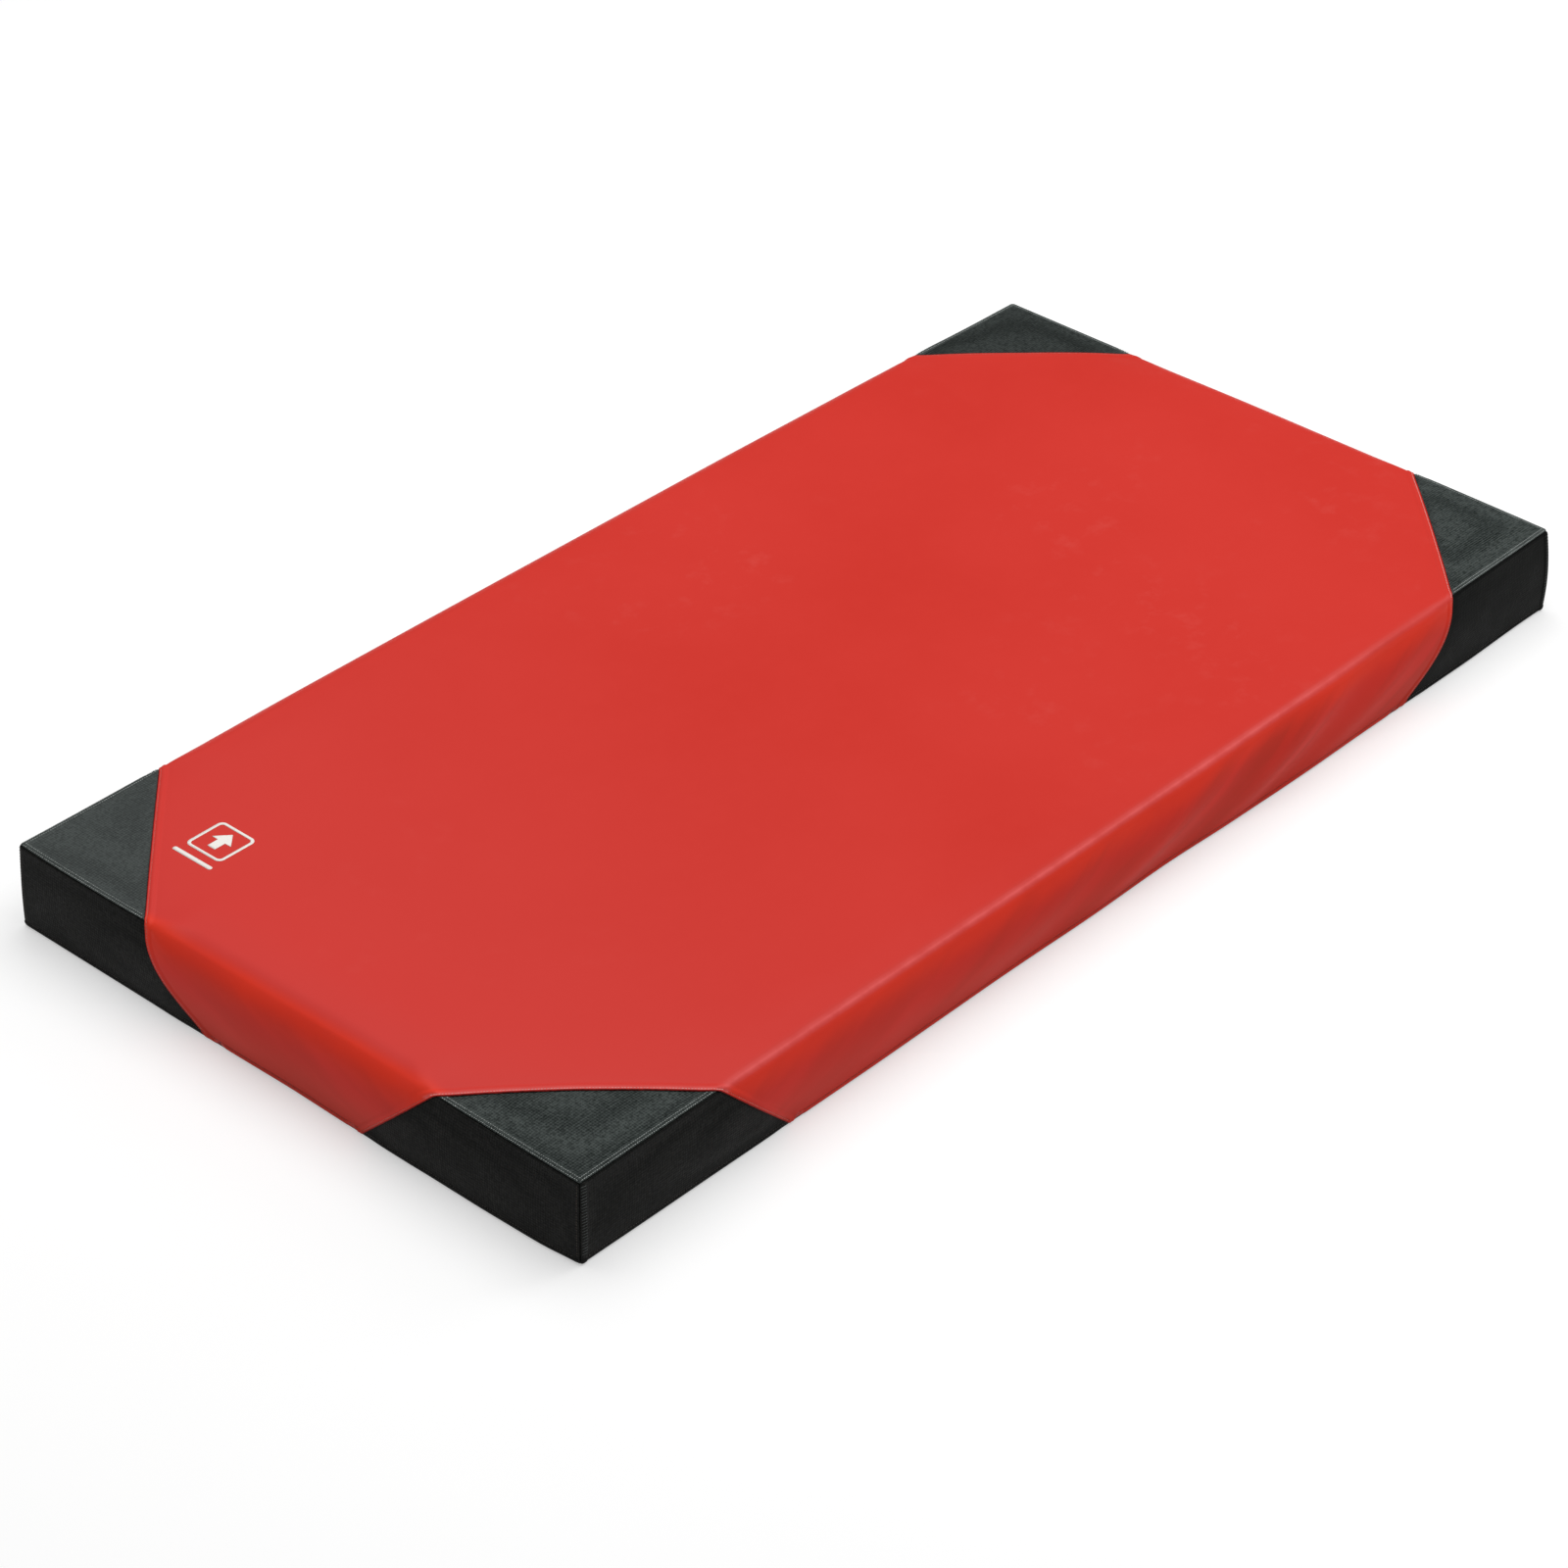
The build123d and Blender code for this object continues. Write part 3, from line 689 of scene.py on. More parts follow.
def red_vinyl():
    m, nt, bsdf = new_material("red_vinyl")
    g = Nodes(nt)
    broad = g.noise(2.2, 3.0, 0.55)
    fine = g.noise(38.0, 3.0, 0.6)
    col = g.ramp(broad, [(0.30, (0.565, 0.0290, 0.0190)), (0.70, (0.600, 0.0350, 0.0250))])
    col = g.mix(g.spread(fine, 0.45, 0.75, 0.0, 0.14), col, (0.620, 0.040, 0.028))
    # faint dusty handling marks
    smudge = g.math("MULTIPLY", g.spread(g.noise(24.0, 5.0, 0.65), 0.55, 0.80, 0.0, 1.0), g.spread(g.noise(3.1, 1.0), 0.55, 0.72, 0.0, 0.07))
    col = g.mix(smudge, col, (0.80, 0.30, 0.27))
    xyz = nt.nodes.new("ShaderNodeSeparateXYZ")
    g.link(g.coord, xyz.inputs[0])
    # the near left part of the top is pinker
    col = g.mix(g.spread(xyz.outputs[0], -0.95, -0.10, 0.75, 0.0), col, (0.620, 0.0440, 0.0360))
    # painted shade: darker towards the floor, more at the left end
    floor_shade = g.math("MULTIPLY", g.spread(xyz.outputs[2], 0.0, 0.085, 1.0, 0.0), g.spread(xyz.outputs[0], -0.99, -0.93, 0.48, 0.24))
    col = g.mix(floor_shade, col, (0.270, 0.042, 0.022))
    # painted shade: broad slanting dark patches on the walls for the shadows of soft folds, more of them towards the
    # right
    lean = g.math("ADD", g.math("SUBTRACT", xyz.outputs[0], g.math("MULTIPLY", xyz.outputs[2], 2.0)), g.math("MULTIPLY", xyz.outputs[1], 0.9))
    at = nt.nodes.new("ShaderNodeCombineXYZ")
    g.link(g.math("MULTIPLY", lean, 8.5), at.inputs[0])
    g.link(g.math("MULTIPLY", xyz.outputs[2], 5.0), at.inputs[2])
    fold_shade = g.spread(g.noise(1.0, 3.0, 0.55, vec=at.outputs[0]), 0.44, 0.64, 0.0, 1.0)
    fold_shade = g.math("MULTIPLY", fold_shade, g.spread(xyz.outputs[2], 0.100, 0.124, 1.0, 0.0))
    fold_shade = g.math("MULTIPLY", fold_shade, g.spread(xyz.outputs[0], -0.40, 0.50, 0.30, 0.70))
    col = g.mix(fold_shade, col, (0.400, 0.0330, 0.0200))
    # painted light: a brighter band under the ridges
    painted_brow_light = nt.nodes.new("ShaderNodeAttribute")
    painted_brow_light.attribute_name = "painted_brow_light"
    painted_brow_mix = g.math("MULTIPLY", painted_brow_light.outputs["Fac"], g.spread(g.noise(9.0, 3.0, 0.6), 0.30, 0.65, 0.70, 1.0))
    col = g.mix(g.math("MULTIPLY", painted_brow_mix, g.math("SUBTRACT", 1.0, fold_shade)), col, (0.780, 0.0430, 0.0190))
    # painted highlight: a pale line along the front ridge and the rolled edge by the near corner
    painted_highlight_line = nt.nodes.new("ShaderNodeAttribute")
    painted_highlight_line.attribute_name = "painted_highlight_line"
    col = g.mix(g.math("MULTIPLY", painted_highlight_line.outputs["Fac"], g.spread(g.noise(34.0, 3.0, 0.6), 0.25, 0.60, 0.45, 0.85)), col, (0.80, 0.135, 0.130))
    g.link(col, bsdf.inputs["Base Color"])
    g.link(g.spread(g.noise(5.5, 4.0, 0.6), 0.3, 0.7, 0.36, 0.44), bsdf.inputs["Roughness"])
    g.link(g.spread(xyz.outputs[2], 0.116, 0.127, 0.022, 0.085), bsdf.inputs["Specular IOR Level"])
    # calendered grain over a fine base cloth
    grain = g.math("ADD", g.math("MULTIPLY", g.voronoi(620.0), 0.7), g.noise(1500.0, 2.0, 0.5))
    cloth = g.math("ADD", g.wave(190.0, "X"), g.math("ADD", g.wave(190.0, "Y"), g.wave(190.0, "Z")))
    n1 = g.bump(g.noise(26.0, 3.0, 0.5), 0.10, 0.0012)
    n2 = g.bump(grain, 0.10, 0.00012, n1)
    n3 = g.bump(cloth, 0.06, 0.00010, n2)
    g.link(n3, bsdf.inputs["Normal"])
    return m


def black_vinyl(name, low, high, dust_and_sheen, rib_strength, spec, hem_highlight_amount, dust_left, painted_shade_front_right, painted_shade_rear_right):
    """Embossed black cloth. The top copy is painted greyer than the side copy: painted sheen for the light the tops
    catch, with paler ribs and some dust.
    """
    m, nt, bsdf = new_material(name)
    g = Nodes(nt)
    # crossed ribs, one set a little stronger, broken up along their length
    broken = g.spread(g.noise(240.0, 2.0, 0.6), 0.32, 0.68, 0.25, 1.0)
    rx, ry, rz = (g.wave(80.0, d, distort=1.6, detail=2.0) for d in "XYZ")
    ribs = g.math("MULTIPLY", g.math("ADD", g.math("MULTIPLY", rx, 0.9), g.math("ADD", g.math("MULTIPLY", ry, 1.1), rz)), broken)
    fleck = g.noise(260.0, 3.0, 0.85)
    streak = g.noise(1.0, 3.0, 0.65, vec=g.mapping((52.0, 230.0, 120.0), (0, 0, math.radians(38.0))))
    wear = g.noise(17.0, 5.0, 0.7)
    tone = g.math("ADD", g.math("MULTIPLY", ribs, 0.30), g.math("ADD", g.math("MULTIPLY", fleck, 0.62), g.math("MULTIPLY", streak, 0.26)))
    col = g.ramp(tone, [(0.42, low), (0.98, high)])
    col = g.mix(g.spread(wear, 0.48, 0.80, 0.0, 0.20), col, dust_and_sheen)
    # painted highlight: the hems along the ridges are painted paler, more towards the right
    xyz = nt.nodes.new("ShaderNodeSeparateXYZ")
    g.link(g.coord, xyz.inputs[0])
    inset = g.math("MINIMUM", g.math("SUBTRACT", A, g.math("ABSOLUTE", xyz.outputs[0])), g.math("SUBTRACT", B, g.math("ABSOLUTE", xyz.outputs[1])))
    dust = g.math("MULTIPLY", g.spread(xyz.outputs[0], -0.80, -0.45, 1.0, 0.0), g.spread(xyz.outputs[1], 0.10, 0.32, 0.0, 1.0))
    col = g.mix(g.math("MULTIPLY", dust, dust_left), col, (0.075, 0.082, 0.080))
    # painted shade: darker towards the right end, by the given amounts at its front and at its rear
    painted_shade = g.math("MULTIPLY", g.spread(xyz.outputs[0], 0.0, 0.50, 0.0, 1.0), g.spread(xyz.outputs[1], 0.05, 0.30, painted_shade_front_right, painted_shade_rear_right))
    col = g.mix(painted_shade, col, (0.0040, 0.0045, 0.0040))
    hem_highlight = g.math("MULTIPLY", g.spread(inset, 0.0090, 0.0115, 1.0, 0.0), g.spread(g.noise(30.0, 3.0, 0.6), 0.30, 0.62, 0.15, 1.0))
    hem_highlight = g.math("MULTIPLY", hem_highlight, g.spread(xyz.outputs[0], 0.2, 0.7, 0.18, 1.0))
    col = g.mix(g.math("MULTIPLY", hem_highlight, hem_highlight_amount), col, (0.095, 0.108, 0.104))
    g.link(col, bsdf.inputs["Base Color"])
    g.link(g.spread(wear, 0.3, 0.7, 0.50, 0.62), bsdf.inputs["Roughness"])
    bsdf.inputs["Specular IOR Level"].default_value = spec
    n1 = g.bump(ribs, rib_strength, 0.00045)
    n2 = g.bump(g.noise(900.0, 2.0, 0.6), 0.18, 0.00015, n1)
    g.link(n2, bsdf.inputs["Normal"])
    return m


def base_vinyl():
    m, nt, bsdf = new_material("base_vinyl")
    g = Nodes(nt)
    dots = g.voronoi(140.0)
    col = g.ramp(dots, [(0.25, (0.034, 0.036, 0.038)), (0.42, (0.016, 0.017, 0.018))])
    g.link(col, bsdf.inputs["Base Color"])
    g.link(g.spread(g.noise(14.0, 3.0), 0.3, 0.7, 0.62, 0.78), bsdf.inputs["Roughness"])
    bsdf.inputs["Specular IOR Level"].default_value = 0.3
    h = g.math("SUBTRACT", 1.0, g.spread(dots, 0.15, 0.42, 0.0, 1.0))
    g.link(g.bump(h, 0.6, 0.0006), bsdf.inputs["Normal"])
    return m


def foam_material():
    m, nt, bsdf = new_material("foam")
    g = Nodes(nt)
    cells = g.voronoi(700.0)
    col = g.ramp(cells, [(0.1, (0.44, 0.40, 0.30)), (0.6, (0.74, 0.70, 0.56))])
    g.link(col, bsdf.inputs["Base Color"])
    g.link(g.spread(cells, 0.0, 0.7, 0.95, 0.85), bsdf.inputs["Roughness"])
    bsdf.inputs["Specular IOR Level"].default_value = 0.15
    g.link(g.bump(cells, 0.8, 0.0006), bsdf.inputs["Normal"])
    return m


def thread_material(name, dark, light):
    m, nt, bsdf = new_material(name)
    g = Nodes(nt)
    n = g.noise(260.0, 2.0, 0.6)
    g.link(g.ramp(n, [(0.3, dark), (0.7, light)]), bsdf.inputs["Base Color"])
    g.link(g.spread(n, 0.3, 0.7, 0.50, 0.70), bsdf.inputs["Roughness"])
    bsdf.inputs["Specular IOR Level"].default_value = 0.35
    g.link(g.bump(g.wave(1800.0, "DIAGONAL"), 0.4, 0.0001), bsdf.inputs["Normal"])
    return m


def tape_material():
    m, nt, bsdf = new_material("zip_tape")
    g = Nodes(nt)
    w = g.math("ADD", g.wave(420.0, "DIAGONAL"), g.math("MULTIPLY", g.wave(300.0, "Z"), 0.6))
    g.link(g.ramp(w, [(0.3, (0.010, 0.010, 0.011)), (0.9, (0.030, 0.030, 0.032))]), bsdf.inputs["Base Color"])
    g.link(g.spread(w, 0.0, 1.6, 0.72, 0.86), bsdf.inputs["Roughness"])
    g.link(g.bump(w, 0.5, 0.0002), bsdf.inputs["Normal"])
    return m


def coil_material():
    m, nt, bsdf = new_material("zip_coil")
    g = Nodes(nt)
    n = g.noise(300.0, 2.0)
    g.link(g.ramp(n, [(0.3, (0.012, 0.012, 0.013)), (0.7, (0.024, 0.024, 0.026))]), bsdf.inputs["Base Color"])
    g.link(g.spread(n, 0.3, 0.7, 0.32, 0.44), bsdf.inputs["Roughness"])
    g.link(g.bump(n, 0.1, 0.0001), bsdf.inputs["Normal"])
    return m


def metal_material():
    m, nt, bsdf = new_material("zip_metal")
    g = Nodes(nt)
    n = g.noise(160.0, 4.0, 0.6)
    worn = g.spread(g.noise(420.0, 3.0), 0.60, 0.72, 0.0, 0.7)
    g.link(g.mix(worn, (0.030, 0.031, 0.033), (0.34, 0.33, 0.32)), bsdf.inputs["Base Color"])
    bsdf.inputs["Metallic"].default_value = 0.75
    g.link(g.spread(n, 0.3, 0.7, 0.28, 0.46), bsdf.inputs["Roughness"])
    g.link(g.bump(n, 0.12, 0.0001), bsdf.inputs["Normal"])
    return m


def print_material():
    m, nt, bsdf = new_material("white_print")
    g = Nodes(nt)
    n = g.noise(220.0, 3.0, 0.6)
    g.link(g.mix(g.spread(n, 0.62, 0.78, 0.0, 0.5), (0.86, 0.83, 0.78), (0.70, 0.30, 0.26)), bsdf.inputs["Base Color"])
    g.link(g.spread(n, 0.3, 0.7, 0.42, 0.55), bsdf.inputs["Roughness"])
    g.link(g.bump(n, 0.08, 0.0001), bsdf.inputs["Normal"])
    return m


RED, RED_LIP_SHADE, BASE_MAT, FOAM = red_vinyl(), red_lip_painted_shade_vinyl(), base_vinyl(), foam_material()
# one black cloth in two copies: the top copy painted greyer as painted sheen, the side copy darker
BLACK_TOP_SHEEN = black_vinyl("black_vinyl_top_painted_sheen", (0.0020, 0.0050, 0.0042), (0.0600, 0.0710, 0.0670), (0.038, 0.046, 0.044), 0.8, 0.09, 0.50, 0.34, 0.0, 0.38)
BLACK = black_vinyl("black_vinyl_side", (0.0038, 0.0040, 0.0037), (0.0165, 0.0165, 0.0155), (0.0110, 0.0118, 0.0114), 0.4, 0.04, 0.0, 0.0, 0.85, 0.85)
# the pale seam thread is a painted highlight on the same thread as the dull one
THREAD_PALE_HIGHLIGHT = thread_material("thread_pale_painted_highlight", (0.60, 0.33, 0.30), (0.80, 0.56, 0.52))
THREAD_DULL = thread_material("thread_dull", (0.34, 0.060, 0.045), (0.52, 0.200, 0.170))
THREAD_BASE = thread_material("thread_base", (0.030, 0.026, 0.023), (0.120, 0.105, 0.095))
THREAD_GREY = thread_material("thread_grey", (0.20, 0.22, 0.21), (0.52, 0.55, 0.53))
THREAD_DARK = thread_material("thread_dark", (0.028, 0.034, 0.033), (0.080, 0.090, 0.086))
THREAD_BROWN = thread_material("thread_brown", (0.022, 0.017, 0.013), (0.065, 0.048, 0.036))
THREAD_RED = thread_material("thread_red", (0.34, 0.05, 0.04), (0.52, 0.12, 0.09))
TAPE, COIL, METAL, WHITE = tape_material(), coil_material(), metal_material(), print_material()


# ------------------------------------------------------------------ how high the cover lies along its seams
def bumpy(d, spots):
    out = np.zeros(len(d))
    for where, width, height in spots:
        out += height * gauss(d, where, width)
    return out


def valley(d, depth=0.0014, width=0.011):
    return -depth * np.exp(-((np.abs(d) / width) ** 1.6))


def red_seam_lift(e):
    """e is the distance inside the red sheet's turned edge."""
    e = np.maximum(e, 0)
    folded = 0.0016 * (1 - smooth(0.0085, 0.0120, e))
    edge = -0.0009 * (1 - smooth(0.0, 0.0014, e)) ** 2
    row = bumpy(e, [(0.0036, 0.0009, -0.0006)])
    return folded + edge + row + valley(e)


def black_seam_lift(e):
    """e is the distance from the seam inside the black panel; below 0 it is under the red edge."""
    tucked = -0.0008 * (1 - smooth(-0.001, 0.003, e))
    return tucked + valley(np.maximum(e, 0))


def bottom_lift(z):
    """The hem that holds the base sheet."""
    return 0.0006 * (1 - smooth(0.0075, 0.0105, z)) + bumpy(z, [(0.0090, 0.0009, -0.0006), (0.0, 0.0015, -0.0010)])


def slot_distance(p):
    """Distance outside the zip's slot, on the rear wall; large elsewhere."""
    rear = p[:, 1] > B - 1e-6
    dx = np.maximum(np.abs(p[:, 0]) - SLOT_X, 0)
    dz = np.maximum(np.abs(p[:, 2] - ZIP_Z) - SLOT_H / 2, 0)
    return np.where(rear, np.hypot(dx, dz), 1.0)


# ------------------------------------------------------------------ red sheet
def polyline_at(line, at):
    d = np.r_[0, np.cumsum(np.linalg.norm(np.diff(line, axis=0), axis=1))]
    return np.stack([np.interp(at, d, line[:, 0]), np.interp(at, d, line[:, 1])], 1), d[-1]


SEAM_LIFT_ROWS = [0.0004, 0.0009, 0.0015, 0.0024, 0.0031, 0.0036, 0.0041, 0.0050, 0.0065, 0.0082, 0.0098, 0.0118, 0.0145, 0.0180]


def make_red():
    far = 0.011
    us = graded(-A - H, A + H, [-A, A], 0.0042, far, 0.07)
    vs = graded(-B - H, B + H, [-B, B], 0.0042, far, 0.07)
    low = [0.0015, 0.003, 0.005, 0.007, 0.0082, 0.009, 0.0098, 0.011, 0.014]
    us = np.unique(np.r_[us[(us > -A - H + 0.016) & (us < A + H - 0.016)], -A - H, A + H, [-A - H + d for d in low], [A + H - d for d in low]])
    vs = np.unique(np.r_[vs[(vs > -B - H + 0.016) & (vs < B + H - 0.016)], -B - H, B + H, [-B - H + d for d in low], [B + H - d for d in low]])
    seams = {n: corner_uv(SEAMS[n], CORNERS[n][0], CORNERS[n][1]) for n in CORNERS}

    def edge_u(v, u0, u1):
        inner = us[(us > min(u0, u1) + 0.002) & (us < max(u0, u1) - 0.002)]
        inner = inner if u1 > u0 else inner[::-1]
        return np.stack([inner, np.full(len(inner), v)], 1)

    def edge_v(u, v0, v1):
        inner = vs[(vs > min(v0, v1) + 0.002) & (vs < max(v0, v1) - 0.002)]
        inner = inner if v1 > v0 else inner[::-1]
        return np.stack([np.full(len(inner), u), inner], 1)

    fl, fr, rr, rl = seams["front_left"], seams["front_right"][::-1], seams["rear_right"], seams["rear_left"][::-1]
    outline = np.concatenate([
        fl, edge_u(-B - H, fl[-1, 0], fr[0, 0]), fr, edge_v(A + H, fr[-1, 1], rr[0, 1]),
        rr, edge_u(B + H, rr[-1, 0], rl[0, 0]), rl, edge_v(-A - H, rl[-1, 1], fl[0, 1]),
    ])
    # rows of points beside each seam
    rows = []
    for n, (sx, sy, flared) in CORNERS.items():
        for d in SEAM_LIFT_ROWS:
            line = offset_line(SEAMS[n], d)
            line = line[(line[:, 0] > -H + 0.0008) & (line[:, 1] > -H + 0.0008)]
            rows.append(corner_uv(line, sx, sy))
    # slot for the zip, and rows round it
    vz = B + (H - ZIP_Z)

    def slot(grow, r):
        hx, hz = SLOT_X + grow, SLOT_H / 2 + grow
        pts = []
        for cx, cz, a0 in ((hx - r, hz - r, 0), (-hx + r, hz - r, 90), (-hx + r, -hz + r, 180), (hx - r, -hz + r, 270)):
            pts += [(cx + r * math.cos(math.radians(a0 + k)), cz + r * math.sin(math.radians(a0 + k))) for k in range(0, 91, 15)]
        pts = np.array(pts)
        out = []
        for p, q in zip(pts, np.roll(pts, -1, 0)):
            k = max(1, int(np.linalg.norm(q - p) / 0.008))
            out += [p + (q - p) * i / k for i in range(k)]
        out = np.array(out)
        return np.stack([out[:, 0], vz + out[:, 1]], 1)

    hole = slot(0.0, 0.003)
    slot_rows = [slot(g, 0.003 + g) for g in (0.0005, 0.0012, 0.0022, 0.0030, 0.0036, 0.0042, 0.0052, 0.0068, 0.0085, 0.0110)]
    uu, vv = np.meshgrid(us, vs, indexing="ij")
    pts = np.stack([uu.ravel(), vv.ravel()], 1)
    pts = pts[inside(outline, pts)]
    keep = (np.abs(pts[:, 0]) < A + H - 0.0008) & (np.abs(pts[:, 1]) < B + H - 0.0008)
    pts = pts[keep]
    near = np.zeros(len(pts), bool)
    for n, (sx, sy, flared) in CORNERS.items():
        st = np.stack([A - sx * pts[:, 0], B - sy * pts[:, 1]], 1)
        close = np.nonzero((st[:, 0] < 0.42) & (st[:, 1] < 0.42))[0]
        near[close] |= dist_to(SEAMS_FINE[n], st[close]) < 0.0200
    near |= (np.abs(pts[:, 0]) < SLOT_X + 0.0125) & (np.abs(pts[:, 1] - vz) < SLOT_H / 2 + 0.0125)
    pts = pts[~near]
    extra = np.concatenate([pts, *rows, *slot_rows])
    xy, tris = triangulate(outline, [], extra, holes=[hole])
    sharp = fold(xy[:, 0], xy[:, 1])
    lift = np.zeros(len(xy))
    for n, (sx, sy, flared) in CORNERS.items():
        st = np.stack([A - sx * xy[:, 0], B - sy * xy[:, 1]], 1)
        close = np.nonzero((st[:, 0] < 0.45) & (st[:, 1] < 0.45))[0]
        lift[close] += red_seam_lift(dist_to(SEAMS_FINE[n], st[close]))
    wall = sharp[:, 2] < H - 1e-6
    lift += np.where(wall, bottom_lift(sharp[:, 2]), 0)
    sd = slot_distance(sharp)
    lift += 0.0008 * (1 - smooth(0.0085, 0.0110, sd)) - 0.0006 * (1 - smooth(0.0, 0.0012, sd)) ** 2 + bumpy(sd, [(0.0036, 0.0009, -0.0005)])
    obj = thick_sheet("red_cover", sharp, lift, tris, 0.0010, RED)
    # painted shade: the lip along each seam takes the darker maroon material, standing in for the shade under the
    # rolled edge
    obj.data.materials.append(RED_LIP_SHADE)
    e = np.full(len(xy), 1.0)
    for n, (sx, sy, flared) in CORNERS.items():
        st = np.stack([A - sx * xy[:, 0], B - sy * xy[:, 1]], 1)
        close = np.nonzero((st[:, 0] < 0.45) & (st[:, 1] < 0.45))[0]
        e[close] = np.minimum(e[close], np.abs(dist_to(SEAMS_FINE[n], st[close])))
    e = np.concatenate([e, e])
    k = len(obj.data.polygons)
    idx = np.zeros(k, dtype=np.int32)
    corner_of = np.empty(k * 3, dtype=np.int32)
    obj.data.polygons.foreach_get("vertices", corner_of)
    idx[e[corner_of.reshape(-1, 3)].mean(1) < 0.0017] = 1
    # painted shade: the strip along the floor takes the darker material too
    foot = np.concatenate([sharp[:, 2], sharp[:, 2]])
    idx[foot[corner_of.reshape(-1, 3)].mean(1) < 0.0030] = 1
    obj.data.polygons.foreach_set("material_index", idx)
    # how strong the painted highlight is at each point: a narrow line on the front ridge, and the rolled edge beside
    # the near corner
    painted_highlight_line = gauss(xy[:, 1], -B, 0.0050) * (1 - smooth(0.30, 0.72, xy[:, 0])) * 0.9
    painted_highlight_line += 0.35 * gauss(xy[:, 1], -B, 0.0050) * smooth(0.30, 0.72, xy[:, 0])
    st = np.stack([A + xy[:, 0], B + xy[:, 1]], 1)
    close = np.nonzero((st[:, 0] < 0.30) & (st[:, 1] < 0.30) & (st.min(1) > -0.010))[0]
    painted_highlight_line[close] = np.maximum(painted_highlight_line[close], 0.9 * gauss(dist_to(SEAMS_FINE["front_left"], st[close]), 0.0036, 0.0022))
    # painted light: how strong the brighter band is, just under the front ridge and the left end's ridge
    below_front, below_left = -B - xy[:, 1], -A - xy[:, 0]
    painted_brow_light = smooth(0.003, 0.010, below_front) * (1 - smooth(0.012, 0.048, below_front)) * 0.78
    painted_brow_light += smooth(-0.022, -0.002, below_left) * (1 - smooth(0.010, 0.056, below_left)) * 0.90
    for name, v in (("painted_highlight_line", painted_highlight_line), ("painted_brow_light", painted_brow_light)):
        attr = obj.data.attributes.new(name, "FLOAT", "POINT")
        attr.data.foreach_set("value", np.concatenate([v, v * 0]).astype(np.float32))
    return obj


red = make_red()
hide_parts("red_cover_sheet")
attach(red, "mat")


# ------------------------------------------------------------------ black corner panels
HEM = np.array([0.0, 0.0005, 0.0010, 0.0016, 0.0024, 0.0031, 0.0038, 0.0048, 0.0060, 0.0067, 0.0074, 0.0082, 0.0092, 0.0104, 0.0125, 0.0155])
LAP = 0.0075


def regular(start, stop, step):
    n = max(1, int(round((stop - start) / step)))
    return np.linspace(start, stop, n + 1)[1:]


def crossing(line, axis):
    """Where a line crosses zero on that axis."""
    s = line[:, axis]
    i = np.nonzero(np.sign(s[:-1]) != np.sign(s[1:]))[0][0]
    f = s[i] / (s[i] - s[i + 1])
    return line[i] + (line[i + 1] - line[i]) * f


